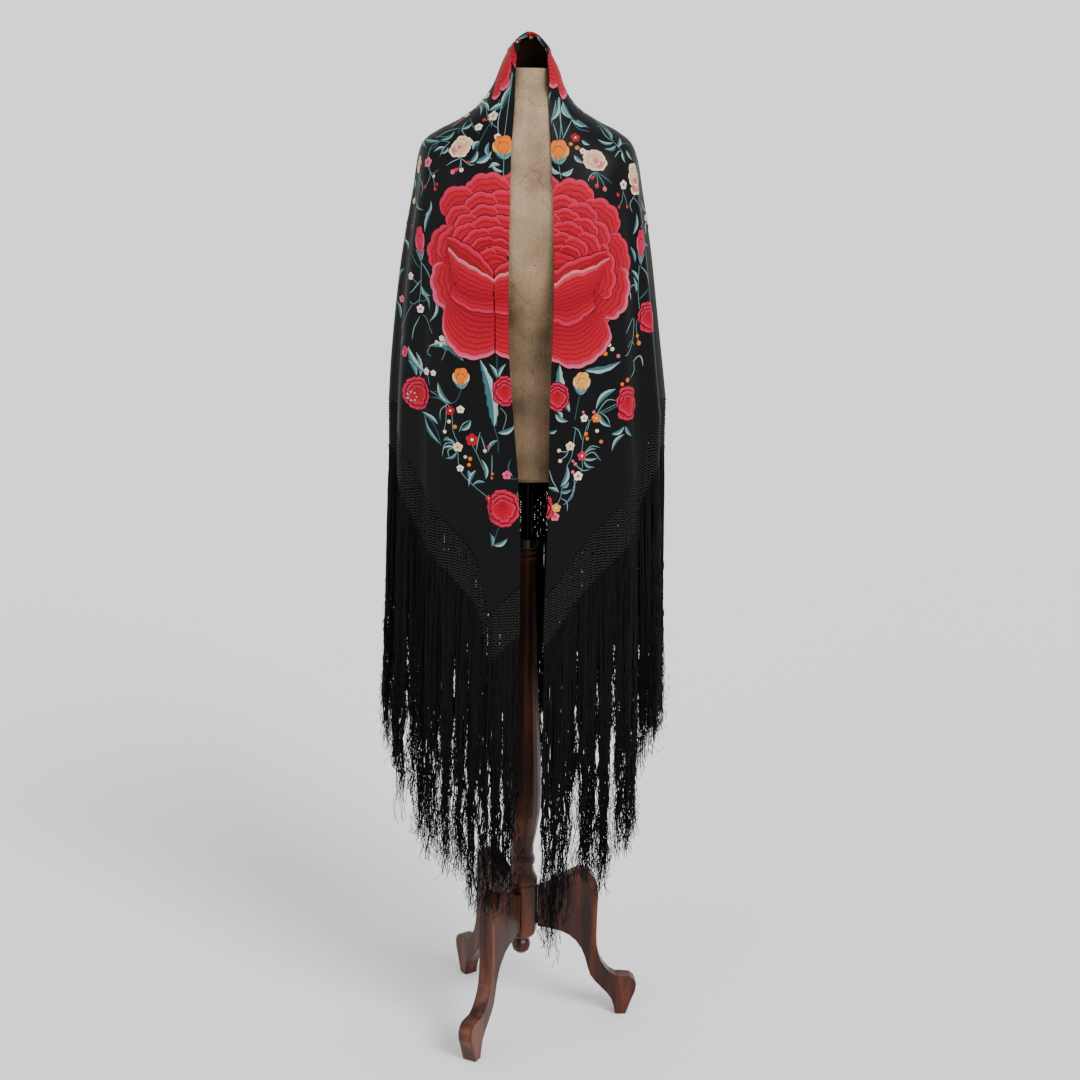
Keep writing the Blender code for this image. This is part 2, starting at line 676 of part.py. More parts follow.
# ------------------------------------------------------------------ assembly
def shawl(silk, net_silk, fringe_silk):
    outer, inner, turns = cloth_grid()
    last = outer.shape[1] - 1
    back = len(COLUMNS_LEFT) - 1
    left_side = COLUMNS_LEFT.index(SIDE_TURN)
    right_side = last - COLUMNS_RIGHT.index(SIDE_TURN)

    def piece(name, rows, first, end, seams):
        part = [grid[rows, first : end + 1] for grid in (outer, inner)]
        wall(name, *(pulled_in(grid, seams) for grid in part), silk)

    collar = slice(0, COLLAR_ROW + 1)
    panel = slice(COLLAR_ROW, HEM_ROW + 1)
    piece("shawl_collar", collar, 0, last, ("bottom",))
    piece("shawl_front_left", panel, 0, left_side, ("top", "last"))
    piece("shawl_back", panel, left_side, right_side, ("top", "first", "last"))
    piece("shawl_front_right", panel, right_side, last, ("top", "first"))

    chance = random.Random(SEED)
    stretches = (
        ("front_left", 0, left_side),
        ("back_left", left_side, back),
        ("back_right", back, right_side),
        ("front_right", right_side, last),
    )
    for name, first, end in stretches:
        hem = [grid[HEM_ROW, first : end + 1] for grid in (outer, inner)]
        net(f"net_{name}", *hem, net_silk)
        fringe(f"fringe_{name}", *hem, turns[HEM_ROW, first : end + 1], chance, fringe_silk)


def main():
    clear_scene()
    bpy.context.scene.collection.children.link(bpy.data.collections.new(COLLECTION))
    silk = material("silk_crepe", (0.012, 0.012, 0.015), 0.62)
    net_silk = material("knotted_net", (0.010, 0.010, 0.012), 0.75)
    fringe_silk = material("fringe_silk", (0.010, 0.009, 0.010), 0.70)
    board = material("aged_board", (0.36, 0.27, 0.18), 0.75)
    black = material("black_enamel", (0.010, 0.010, 0.011), 0.25, 0.4)
    iron = material("ferrule_iron", (0.22, 0.21, 0.20), 0.45, 1.0)
    wood = material("mahogany", (0.085, 0.022, 0.014), 0.38)
    dress_form(board)
    tube_and_ferrule(black, iron)
    stand(wood)
    shawl(silk, net_silk, fringe_silk)


main()
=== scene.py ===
import math

import bpy
import numpy as np
from mathutils import Matrix, Vector


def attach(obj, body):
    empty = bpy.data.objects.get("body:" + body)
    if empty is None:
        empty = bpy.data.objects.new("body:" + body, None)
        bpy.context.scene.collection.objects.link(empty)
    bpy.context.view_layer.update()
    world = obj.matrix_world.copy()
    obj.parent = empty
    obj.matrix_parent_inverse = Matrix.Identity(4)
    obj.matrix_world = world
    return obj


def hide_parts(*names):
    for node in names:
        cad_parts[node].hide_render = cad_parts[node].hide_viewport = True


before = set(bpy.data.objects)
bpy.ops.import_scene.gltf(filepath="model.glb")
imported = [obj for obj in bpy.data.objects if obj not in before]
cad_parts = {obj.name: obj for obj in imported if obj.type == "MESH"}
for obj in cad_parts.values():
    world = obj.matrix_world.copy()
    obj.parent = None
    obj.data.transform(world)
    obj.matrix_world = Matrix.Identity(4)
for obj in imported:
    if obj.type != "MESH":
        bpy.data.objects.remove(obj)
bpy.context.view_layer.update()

# ------------------------------------------------------------------ sizes, the same as the solids'
HEM_ROW = 15
HEM_SHAPE_FROM = 8.0
FOLD_GROWTH = 0.7
TURN_STEP = 0.01
ROW_STEP = 0.05
NET_DEPTH = 0.085
CLOTH_THICK = 0.0012
RING_COLUMNS = (
    "middle", "half_width", "front", "back", "side_z", "front_z", "back_z",
    "open_left", "open_right", "square", "straight",
)
RINGS = (
    (-0.0055, 0.03, 0.05, 0.052, 1.712, 1.676, 1.737, 0.023, 0.0225, 2, 0),
    (-0.0066, 0.038, 0.056, 0.062, 1.698, 1.662, 1.722, 0.0264, 0.0231, 2, 0),
    (-0.006, 0.0482, 0.062, 0.07, 1.677, 1.64, 1.697, 0.0279, 0.0241, 2, 0),
    (-0.007, 0.059, 0.07, 0.078, 1.65, 1.61, 1.664, 0.0283, 0.0257, 2, 0),
    (-0.0075, 0.079, 0.082, 0.089, 1.622, 1.572, 1.622, 0.0306, 0.0279, 2.05, 0),
    (-0.0055, 0.1095, 0.095, 0.1, 1.6, 1.532, 1.58, 0.0325, 0.0305, 2.1, 0),
    (-0.0052, 0.143, 0.107, 0.11, 1.583, 1.492, 1.54, 0.0329, 0.0326, 2.2, 0),
    (-0.0066, 0.168, 0.117, 0.117, 1.564, 1.452, 1.497, 0.0332, 0.0343, 2.3, 0),
    (-0.006, 0.1778, 0.124, 0.122, 1.536, 1.41, 1.45, 0.0336, 0.0359, 2.3, 0.05),
    (-0.0056, 0.184, 0.128, 0.126, 1.49, 1.355, 1.4, 0.0339, 0.0371, 2.3, 0.15),
    (-0.0058, 0.1934, 0.131, 0.129, 1.432, 1.285, 1.34, 0.0331, 0.0379, 2.3, 0.25),
    (-0.0062, 0.2022, 0.133, 0.131, 1.372, 1.205, 1.27, 0.0308, 0.0362, 2.3, 0.35),
    (-0.006, 0.2088, 0.134, 0.133, 1.314, 1.115, 1.195, 0.023, 0.0345, 2.3, 0.45),
    (-0.0052, 0.2148, 0.134, 0.135, 1.258, 1.02, 1.115, 0.0151, 0.0344, 2.3, 0.55),
    (-0.004, 0.22, 0.134, 0.137, 1.204, 0.922, 1.03, 0.0107, 0.0328, 2.3, 0.6),
    (-0.002, 0.2245, 0.134, 0.138, 1.15, 0.824, 0.93, 0.0103, 0.0307, 2.3, 0.65),
)
# The cloth's edge in each half of the shawl: turn, height.
HEM_LEFT = (
    (1.7, 0.85), (12.5, 0.8), (16.5, 0.884), (22, 0.92), (35, 0.966), (47, 0.998), (59, 1.052),
    (74, 1.122), (90, 1.15), (112, 1.118), (135, 1.055), (160, 0.98), (180, 0.93),
)
HEM_RIGHT = (
    (5.5, 0.824), (14.5, 0.88), (21, 0.918), (35, 0.968), (47, 0.998), (59, 1.062), (71, 1.13), (90, 1.15),
    (112, 1.122), (135, 1.06), (160, 0.985), (180, 0.93),
)
# Soft folds that run down the cloth: turn, half width in degrees, height (negative in a
# trough) and the ring at which the fold starts.
FOLDS_LEFT = (
    (7, 9, 0.006, 11), (21, 7, -0.004, 9), (34, 10, 0.003, 7), (51, 9, -0.0055, 8), (64, 8, 0.006, 7),
    (77, 8, -0.009, 8), (89, 8, 0.008, 7), (101, 8, -0.01, 8), (113, 9, 0.01, 7), (127, 9, -0.009, 8),
    (141, 10, 0.008, 7), (156, 9, -0.007, 8), (170, 11, 0.006, 9),
)
FOLDS_RIGHT = (
    (13, 9, 0.003, 10), (27, 9, -0.0035, 8), (43, 10, 0.004, 7), (58, 8, -0.007, 8), (71, 8, 0.007, 7),
    (83, 8, -0.008, 8), (95, 8, 0.009, 7), (108, 9, -0.01, 8), (121, 9, 0.009, 7), (135, 10, -0.009, 8),
    (149, 9, 0.007, 7), (163, 9, -0.006, 8.5),
)
# The ends of the fringe: turn, height.
ENDS_LEFT = (
    (1.7, 0.315), (12, 0.3), (18, 0.3), (26, 0.35), (34, 0.395), (43, 0.385), (52, 0.45), (62, 0.51),
    (74, 0.56), (90, 0.58), (120, 0.56), (150, 0.46), (180, 0.36),
)
ENDS_RIGHT = (
    (5.5, 0.235), (13, 0.215), (17.8, 0.32), (18.8, 0.5), (20.9, 0.51), (21.9, 0.33), (27, 0.345),
    (34, 0.355), (43, 0.395), (52, 0.43), (60, 0.52), (72, 0.595), (90, 0.59), (120, 0.56), (150, 0.46),
    (180, 0.36),
)
# From SOFT_FROM degrees off the front the hem's height is a mean of readings to both sides. Their
# reach grows by a degree every SOFT_RAMP degrees, up to SOFT_REACH.
SOFT_FROM = 16.5
SOFT_RAMP = 1.2
SOFT_REACH = 6.5
SOFT_SHARES = np.linspace(-1.0, 1.0, 9)


def columns_at(table, place):
    """Each column of a table at a place between its rows, on a smooth curve through them."""
    rows = np.asarray(table, float)
    last = len(rows) - 1
    low = np.clip(np.floor(place).astype(int), 0, last - 1)
    t = (place - low)[..., None]
    before, start = rows[np.maximum(low - 1, 0)], rows[low]
    end, after = rows[low + 1], rows[np.minimum(low + 2, last)]
    cubic = 2 * before - 5 * start + 4 * end - after + t * (3 * (start - end) + after - before)
    return np.moveaxis(start + 0.5 * t * (end - before + t * cubic), -1, 0)


def ring_at(row):
    """The facts of the ring at a row, by name."""
    return dict(zip(RING_COLUMNS, columns_at(RINGS, row)))


def by_turn(left, right, turn):
    """A height read at a turn of 0 to 360 degrees, from the table of the half it is in."""
    left, right = np.asarray(left), np.asarray(right)
    return np.where(
        turn <= 180.0,
        np.interp(turn, left[:, 0], left[:, 1]),
        np.interp(360.0 - turn, right[:, 0], right[:, 1]),
    )


def soft_hem(turn):
    """Height of the hem, its corners softened except at the tips of the fronts."""
    reach = np.clip((np.minimum(turn, 360.0 - turn) - SOFT_FROM) / SOFT_RAMP, 0.0, SOFT_REACH)
    heights = (by_turn(HEM_LEFT, HEM_RIGHT, np.mod(turn + reach * s, 360.0)) for s in SOFT_SHARES)
    return sum(heights) / len(SOFT_SHARES)


# ------------------------------------------------------------------ the cloth's surface
def quarter_of(turn):
    """0 at the front and the back, 1 at the sides."""
    return 1.0 - np.abs(np.mod(turn, math.pi) / (math.pi / 2) - 1.0)


def ring_height(turn, ring):
    """Height of a ring at a turn, from its heights at the front, sides and back."""
    quarter = quarter_of(turn)
    straight = ring["straight"]
    rise = (1.0 - straight) * np.sin(quarter * math.pi / 2) + straight * quarter
    end = np.where(np.cos(turn) > 0, ring["front_z"], ring["back_z"])
    return end + (ring["side_z"] - end) * rise


def fold_height(turn, row):
    """How far the folds lift the cloth off its smooth ring."""
    degrees = np.degrees(turn)
    total = np.zeros(np.broadcast(turn, row).shape)
    folds = list(FOLDS_LEFT) + [(360.0 - t, w, h, r) for t, w, h, r in FOLDS_RIGHT]
    for place, half_width, height, from_row in folds:
        away = np.clip(np.abs(degrees - place) / half_width, 0.0, 1.0)
        grown = np.clip((row - from_row) / (HEM_ROW - from_row), 0.0, 1.0)
        total = total + height * (0.5 + 0.5 * np.cos(math.pi * away)) * grown**FOLD_GROWTH
    return total


def drape_face(turn, row, folds=True):
    """Outer face of the cloth at a turn in radians and a row between 0 and HEM_ROW."""
    turn, row = np.broadcast_arrays(np.asarray(turn, float), np.asarray(row, float))
    ring = ring_at(row)
    hem = dict(zip(RING_COLUMNS, RINGS[HEM_ROW]))
    side, fore = np.sin(turn), np.cos(turn)
    power = 2.0 / ring["square"]
    depth = np.where(fore > 0, ring["front"], ring["back"])
    x = -ring["half_width"] * np.sign(side) * np.abs(side) ** power
    y = -depth * np.sign(fore) * np.abs(fore) ** power
    bend = np.clip((row - HEM_SHAPE_FROM) / (HEM_ROW - HEM_SHAPE_FROM), 0.0, 1.0) ** 2
    z = ring_height(turn, ring) + bend * (soft_hem(np.degrees(turn)) - ring_height(turn, hem))
    out = np.stack([x / ring["half_width"] ** 2, y / depth**2], axis=-1)
    out /= np.linalg.norm(out, axis=-1, keepdims=True)
    lift = fold_height(turn, row) if folds else 0.0
    x = x + ring["middle"] + out[..., 0] * lift
    return np.stack([x, y + out[..., 1] * lift, z], axis=-1)


def drape_normal(turn, row, folds=True):
    """Unit vector out of the cloth, from points a little to each side."""
    across = drape_face(turn + TURN_STEP, row, folds) - drape_face(turn - TURN_STEP, row, folds)
    above = drape_face(turn, np.clip(row - ROW_STEP, 0, HEM_ROW), folds)
    below = drape_face(turn, np.clip(row + ROW_STEP, 0, HEM_ROW), folds)
    normal = np.cross(across, below - above)
    return normal / np.linalg.norm(normal, axis=-1, keepdims=True)


def front_edges(row):
    """Turns, in radians, of the two front edges at a row."""
    ring = ring_at(row)
    left, right = (
        np.arcsin((reach / ring["half_width"]) ** (ring["square"] / 2))
        for reach in (ring["open_left"] + ring["middle"], ring["open_right"] - ring["middle"])
    )
    return left, 2 * math.pi - right


# ------------------------------------------------------------------ materials
EVEN = (1.0, 1.0, 1.0)
WHITE = (1.0, 1.0, 1.0)


class Material:
    """A Principled material, and helpers for the nodes that feed it."""

    def __init__(self, name, colour, roughness, specular=0.5, metallic=0.0):
        self.mat = bpy.data.materials.new(name)
        self.mat.use_nodes = True
        self.nodes = self.mat.node_tree.nodes
        self.links = self.mat.node_tree.links
        self.shader = self.nodes["Principled BSDF"]
        facts = {"Base Color": (*colour, 1.0), "Roughness": roughness, "Metallic": metallic}
        self.feed(self.shader, {**facts, "Specular IOR Level": specular})

    def feed(self, node, inputs):
        """Sets each input of a node to a value, or links it to a socket."""
        for name, value in inputs.items():
            if isinstance(value, bpy.types.NodeSocket):
                self.links.new(value, node.inputs[name])
            else:
                node.inputs[name].default_value = value

    def add(self, kind, inputs):
        node = self.nodes.new(kind)
        self.feed(node, inputs)
        return node

    def object_place(self):
        return self.nodes.new("ShaderNodeTexCoord").outputs["Object"]

    def noise(self, scale, detail, stretch=EVEN, coords=None):
        coords = self.object_place() if coords is None else coords
        mapping = self.add("ShaderNodeMapping", {"Vector": coords, "Scale": stretch})
        facts = {"Vector": mapping.outputs["Vector"], "Scale": scale, "Detail": detail}
        return self.add("ShaderNodeTexNoise", facts).outputs["Fac"]

    def ramp(self, source, *stops):
        """Colours by a value. Each stop is its place and a colour."""
        ramp = self.add("ShaderNodeValToRGB", {"Fac": source})
        while len(ramp.color_ramp.elements) < len(stops):
            ramp.color_ramp.elements.new(0.5)
        for element, (place, colour) in zip(ramp.color_ramp.elements, stops):
            element.position = place
            element.color = (*colour, 1.0)
        return ramp.outputs["Color"]

    def multiply(self, first, second):
        mix = self.nodes.new("ShaderNodeMix")
        mix.data_type = "RGBA"
        mix.blend_type = "MULTIPLY"
        self.feed(mix, {"Factor": 1.0, "A": first, "B": second})
        return mix.outputs["Result"]

    def paint(self, colour):
        self.feed(self.shader, {"Base Color": colour})

    def bump(self, source, strength, distance):
        facts = {"Height": source, "Strength": strength, "Distance": distance}
        self.feed(self.shader, {"Normal": self.add("ShaderNodeBump", facts).outputs["Normal"]})


def crinkled(name, colour, roughness, specular, scale, bump, stretch=EVEN):
    """A plain colour under fine bumps, whose strength and distance are given."""
    made = Material(name, colour, roughness, specular)
    made.bump(made.noise(scale, 3.0, stretch), *bump)
    return made.mat


def board_material():
    """Old papier-mache: blotched tan, darker low down, with rust specks and fine cracks."""
    made = Material("aged_board", (0.3, 0.2, 0.12), 0.55, 0.3)
    light, middle, dark = (0.350, 0.250, 0.150), (0.240, 0.160, 0.091), (0.122, 0.076, 0.041)
    colour = made.ramp(made.noise(13.0, 7.0), (0.30, dark), (0.48, middle), (0.70, light))
    rust = made.ramp(made.noise(190.0, 2.0), (0.68, WHITE), (0.73, (0.62, 0.38, 0.25)))
    grain = made.noise(420.0, 3.0)
    dust = made.ramp(grain, (0.35, (0.78, 0.77, 0.76)), (0.65, (1.08, 1.08, 1.08)))
    coords = made.object_place()
    warp = made.add("ShaderNodeTexNoise", {"Vector": coords, "Scale": 22.0, "Detail": 5.0})
    shift = made.nodes.new("ShaderNodeVectorMath")
    shift.operation = "MULTIPLY_ADD"
    made.feed(shift, {0: warp.outputs["Color"], 1: (0.06, 0.06, 0.06), 2: coords})
    crackle = made.nodes.new("ShaderNodeTexVoronoi")
    crackle.feature = "DISTANCE_TO_EDGE"
    made.feed(crackle, {"Vector": shift.outputs["Vector"], "Scale": 5.5})
    cracks = made.ramp(crackle.outputs["Distance"], (0.0015, (0.62, 0.56, 0.50)), (0.005, WHITE))
    parts = made.add("ShaderNodeSeparateXYZ", {"Vector": coords})
    facts = {"Value": parts.outputs["Z"], "From Min": 1.02, "From Max": 1.60}
    height = made.add("ShaderNodeMapRange", facts)
    # Darker towards the bottom: the colour is scaled by height, from 0.66 times at 1.02 m to unchanged at
    # 1.60 m.
    darker_low_down = made.ramp(height.outputs["Result"], (0.0, (0.66, 0.60, 0.54)), (1.0, WHITE))
    for layer in (rust, dust, cracks, darker_low_down):
        colour = made.multiply(colour, layer)
    made.paint(colour)
    made.bump(grain, 0.25, 0.001)
    return made.mat


def wood_material():
    """Dark mahogany: long streaks of grain, half gloss."""
    made = Material("mahogany", (0.05, 0.012, 0.006), 0.32, 0.26)
    streaks = made.noise(46.0, 5.0, (1.0, 1.0, 0.12))
    light, middle, dark = (0.100, 0.024, 0.0085), (0.038, 0.0080, 0.0034), (0.0110, 0.0023, 0.0012)
    made.paint(made.ramp(streaks, (0.34, dark), (0.50, middle), (0.66, light)))
    made.bump(streaks, 0.12, 0.001)
    return made.mat


def stitch_material():
    """Silk thread: its tone, with painted shade, is painted on the mesh, its strands run across each row.
    """
    made = Material("embroidery_silk", (0.5, 0.1, 0.1), 0.45, 0.12)
    tone = made.nodes.new("ShaderNodeVertexColor")
    tone.layer_name = "thread_tone_and_shade"
    uv = made.nodes.new("ShaderNodeUVMap")
    uv.uv_map = "stitches"
    strands = made.noise(1.6, 2.0, (1.0, 0.10, 1.0), uv.outputs["UV"])
    shade = made.ramp(strands, (0.30, (0.72, 0.72, 0.72)), (0.65, (1.08, 1.08, 1.08)))
    made.paint(made.multiply(tone.outputs["Color"], shade))
    made.bump(strands, 0.5, 0.0004)
    return made.mat


# ------------------------------------------------------------------ meshes
def mesh_piece(name, points, faces, mats, which=None):
    """A soft piece from arrays; which gives each face's material, if it has more than one."""
    mesh = bpy.data.meshes.new(name)
    mesh.vertices.add(len(points))
    mesh.vertices.foreach_set("co", np.asarray(points, np.float32).ravel())
    faces = np.asarray(faces)
    mesh.loops.add(faces.size)
    mesh.loops.foreach_set("vertex_index", faces.ravel().astype(np.int32))
    mesh.polygons.add(len(faces))
    side = faces.shape[1]
    mesh.polygons.foreach_set("loop_start", np.arange(0, faces.size, side, dtype=np.int32))
    mesh.polygons.foreach_set("loop_total", np.full(len(faces), side, np.int32))
    mesh.update(calc_edges=True)
    mesh.shade_smooth()
    obj = bpy.data.objects.new(name, mesh)
    bpy.context.scene.collection.objects.link(obj)
    for mat in mats:
        mesh.materials.append(mat)
    if which is not None:
        mesh.polygons.foreach_set("material_index", which.astype(np.int32))
    mesh.validate()
    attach(obj, "root")
    return obj


def grid_quads(rows, cols, start=0):
    r, c = np.meshgrid(np.arange(rows - 1), np.arange(cols - 1), indexing="ij")
    a = (start + r * cols + c).ravel()
    return np.stack([a, a + cols, a + cols + 1, a + 1], axis=1)


# ------------------------------------------------------------------ the cloth
# The strip at the left front's tip lies over the cloth beside it: its edge's place and height.
PLEAT_X = -0.0590
PLEAT_EDGE = 0.0016
PLEAT_HEIGHT = 0.0042
PLEAT_TOP = 1.085
PLEAT_GROWTH = 0.10
PLEAT_LEAST = 0.09
PLEAT_ROWS = (9.0, 15.0)
PLEAT_TURNS = (14.5, 16.2)
PLEAT_LIMIT = 60.0  # no turn beyond this is part of the strip
# Finer creases: turn, half width in degrees, height in mm, first ring of the crease.
CREASES = (
    (24, 3, 1.1, 9), (31, 2.6, -1, 10), (44, 3.4, 1.6, 7.5), (70, 3, 1.8, 7), (83, 2.6, -1.6, 7.5),
    (95, 3.2, 2, 6.5), (107, 3, -2.2, 6.5), (120, 3.6, 2.2, 6), (134, 3.2, -2.4, 5.5), (149, 4, 2.6, 4.5),
    (163, 3.4, -2.6, 3.5), (180, 4.6, 3, 2.5), (197, 3.6, -2.6, 3.5), (211, 3.6, 2.4, 4.5),
    (226, 3.2, -2.2, 5.5), (240, 3.4, 2.2, 6), (254, 2.8, -2, 6.5), (266, 3, 1.8, 7),
    (279, 2.6, -1.6, 7.5), (291, 3, 1.7, 7), (312, 3.4, 1.3, 8), (329, 2.6, -1, 10), (338, 3, 1, 10),
)
CREASE_END = 15.5
CREASE_RISE = 0.35  # share of its length over which a crease grows
ROLL = 0.0021  # how far the rolled fold at the neck stands out on each side
ROLL_DEPTH = 0.33
APEX_ROUND = 0.42  # how softly the fold turns over at the nape
APEX_ROWS = 5.0
CORNER_RISE = 0.019  # the left front corner of the collar stands up
CORNER_TURN = 38.0
CORNER_SPREAD = 24.0
CORNER_ROWS = 2.5
ROLL_STEPS = 13  # grid of the cloth: rows down to the first ring, rows below it, columns
CLOTH_STEPS = 112
COLUMNS_LEFT = 148
COLUMNS_PLEAT = 22
COLUMNS_RIGHT = 136
# The collar's inside gets a dark maroon: the red of its embroidery, painted dark as shade.
SHADED_INSIDE_ROWS = (6, 33)  # the first and last grid row that show the collar's inside


def smooth_step(value):
    t = np.clip(value, 0.0, 1.0)
    return t * t * (3.0 - 2.0 * t)


def crease_height(turn, row, point):
    """The finer creases of the real cloth, over the folds that the solid has too."""
    degrees = np.degrees(turn)
    total = np.zeros(degrees.shape)
    for place, half_width, height, first in CREASES:
        away = np.abs(degrees - place) / half_width
        along = smooth_step((row - first) / (CREASE_RISE * (CREASE_END - first)))
        total = total + 0.001 * height * np.exp(-(away**2)) * along
    left = (degrees < PLEAT_LIMIT) & (point[..., 1] < 0.0)
    over = smooth_step((point[..., 0] - PLEAT_X) / PLEAT_EDGE)
    grown = smooth_step((PLEAT_TOP - point[..., 2]) / PLEAT_GROWTH)
    return total + np.where(left, PLEAT_HEIGHT * over * grown, 0.0)


def collar_shift(turn, row):
    """How far the soft fold at the neck stands above the solid's plain one."""
    quarter = np.clip(quarter_of(turn), 0.0, 1.0)
    soft = (np.hypot(quarter, APEX_ROUND) - APEX_ROUND) / (math.hypot(1.0, APEX_ROUND) - APEX_ROUND)
    ring = ring_at(row)
    fade = np.clip(1.0 - row / APEX_ROWS, 0.0, 1.0)
    behind = np.cos(turn) < 0
    drop = (ring["side_z"] - ring["back_z"]) * (np.sin(soft * math.pi / 2) - np.sin(quarter * math.pi / 2))
    corner = CORNER_RISE * np.exp(-(((np.degrees(turn) - CORNER_TURN) / CORNER_SPREAD) ** 2))
    return np.where(behind, drop * fade, 0.0) + corner * np.clip(1.0 - row / CORNER_ROWS, 0.0, 1.0) ** 1.5


def cloth_face(turn, row):
    """Outer face of the dressed cloth: the solid's own form with its sharper creases."""
    turn, row = np.broadcast_arrays(np.asarray(turn, float), np.asarray(row, float))
    point = drape_face(turn, row)
    point = point + drape_normal(turn, row) * crease_height(turn, row, point)[..., None]
    point[..., 2] += collar_shift(turn, row)
    return point


def roll_height(row):
    """How far the rolled fold at the neck stands out of the cloth, on each side of it."""
    return ROLL * np.sqrt(np.clip(1.0 - ((row - ROLL_DEPTH) / ROLL_DEPTH) ** 2, 0.0, 1.0))


def cloth_turns(row):
    """Turns of the cloth's columns at each row, closer together on the strip at the left front."""
    left, right = front_edges(row)
    pleat = np.maximum(np.radians(np.interp(row, PLEAT_ROWS, PLEAT_TURNS)), left + PLEAT_LEAST)
    before = left[:, None] + (pleat - left)[:, None] * np.linspace(0.0, 1.0, COLUMNS_PLEAT)
    shares = np.linspace(0.0, 1.0, COLUMNS_LEFT - COLUMNS_PLEAT + 1)
    after = pleat[:, None] + (math.pi - pleat[:, None]) * shares
    half_right = right[:, None] + (math.pi - right[:, None]) * np.linspace(0.0, 1.0, COLUMNS_RIGHT)
    return np.concatenate([before, after[:, 1:], half_right[:, -2::-1]], axis=1)


def shawl_cloth(mats):
    """The whole cloth as one closed shell, thin, its fold at the neck rolled."""
    upper = np.linspace(0.0, 1.0, ROLL_STEPS)
    rows = np.concatenate([upper, np.linspace(1.0, HEM_ROW, CLOTH_STEPS)[1:]])
    turns = cloth_turns(rows)
    row = np.broadcast_to(rows[:, None], turns.shape)
    normal = drape_normal(turns, row)
    roll = roll_height(row)
    outer = cloth_face(turns, row) + normal * roll[..., None]
    inner = outer - normal * (CLOTH_THICK + 2.0 * roll)[..., None]
    count_rows, cols = turns.shape
    count = count_rows * cols
    front = grid_quads(count_rows, cols)
    back = grid_quads(count_rows, cols, count)[:, ::-1]
    edges = (
        np.arange(cols - 1),
        np.arange(cols - 1, count - 1, cols),
        np.arange(count - 1, count - cols, -1),
        np.arange(count - cols, 0, -cols),
    )
    rim = np.concatenate(edges)
    after = np.roll(rim, -1)
    edge = np.stack([rim, after, after + count, rim + count], axis=1)
    faces = np.concatenate([front, back, edge])
    which = np.zeros(len(faces), int)
    back_row = np.arange(len(back)) // (cols - 1)
    shaded_inside = (back_row >= SHADED_INSIDE_ROWS[0]) & (back_row <= SHADED_INSIDE_ROWS[1])
    which[len(front) : len(front) + len(back)][shaded_inside] = 1
    points = np.concatenate([outer.reshape(-1, 3), inner.reshape(-1, 3)])
    cloth = mesh_piece("shawl_cloth", points, faces, mats, which)
    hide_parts("shawl_collar", "shawl_front_left", "shawl_front_right", "shawl_back")
    return cloth


# ------------------------------------------------------------------ net and fringe
STRETCHES = (
    ("front_left", "first", 90.0),
    ("back_left", 90.0, 180.0),
    ("back_right", 180.0, 270.0),
    ("front_right", 270.0, "last"),
)
HEM_STEPS = 600
SEAM_GAP = 0.0003
NET_ROWS = 18
KNOT_WIDTH = 0.0053
KNOT_MISSING = 0.008  # share of the knots left out
KNOT_STRAY = 0.0003
KNOT_BACK = 0.0011  # how far the knots lie behind the hem's outer face
KNOT_SLOPE = 21.0
KNOT_SLOPE_STRAY = 0.12
KNOT_REACH = 0.62  # half a knot's length, in widths of a column
KNOT_DEEP = 1.3
KNOT_SHAPE = ((-1.0, 0.0009), (-0.45, 0.0013), (0.45, 0.0013), (1.0, 0.0009))  # place, half width
CORD_END = 0.0022
CORD_LEVELS = np.linspace(-0.0012, NET_DEPTH - 0.0006, 19)
CORD_STRAY = 0.00045
CORD_BACK = 0.0019
CORD_DEEP = 0.26
CORD_WIDTHS = (0.0035, 0.0023)  # plain, and where a hole shows between two cords
CORD_HOLES = 0.04  # share of the levels with a hole


def hem_line(start, end):
    """Points along a stretch of the hem: run in metres, place, way along and way out, turn."""
    first, last = (np.degrees(edge)[0] for edge in front_edges(np.array([float(HEM_ROW)])))
    start = first if start == "first" else start
    end = last if end == "last" else end
    turns = np.linspace(start, end, HEM_STEPS)
    line = cloth_face(np.radians(turns), np.full(turns.shape, float(HEM_ROW)))
    along = np.gradient(line[:, :2], axis=0)
    along /= np.linalg.norm(along, axis=1, keepdims=True)
    out = np.stack([along[:, 1], -along[:, 0]], axis=1)
    out *= np.sign((out * line[:, :2]).sum(axis=1))[:, None]
    step = np.linalg.norm(np.diff(line[:, :2], axis=0), axis=1)
    run = np.concatenate([[0.0], np.cumsum(step)])
    return run, line, along, out, turns


def read_hem(hem, places):
    """Points of a hem line at runs in metres, and level ways along it and out of it."""
    run, line, along, out, _ = hem
    flat = np.zeros((len(run), 1))
    lines = (line, np.concatenate([along, flat], axis=1), np.concatenate([out, flat], axis=1))
    return [np.stack([np.interp(places, run, each[:, k]) for k in range(3)], axis=-1) for each in lines]


def tubes(paths, across, over, widths, sides=3):
    """Round strands: paths n x levels x 3, two directions n x 3, half widths n x levels."""
    n, levels = paths.shape[:2]
    across, over = across[:, None, None, :], over[:, None, None, :]
    corner = (np.arange(sides) * 2 * math.pi / sides)[:, None]
    ring = np.cos(corner) * across + np.sin(corner) * over
    points = (paths[:, :, None, :] + widths[:, :, None, None] * ring).reshape(-1, 3)
    base = (np.arange(n) * levels * sides)[:, None, None]
    base = base + (np.arange(levels - 1) * sides)[None, :, None]
    k = np.arange(sides)[None, None, :]
    a = base + k
    b = base + (k + 1) % sides
    faces = np.stack([a, b, b + sides, a + sides], axis=-1).reshape(-1, 4)
    return points, faces


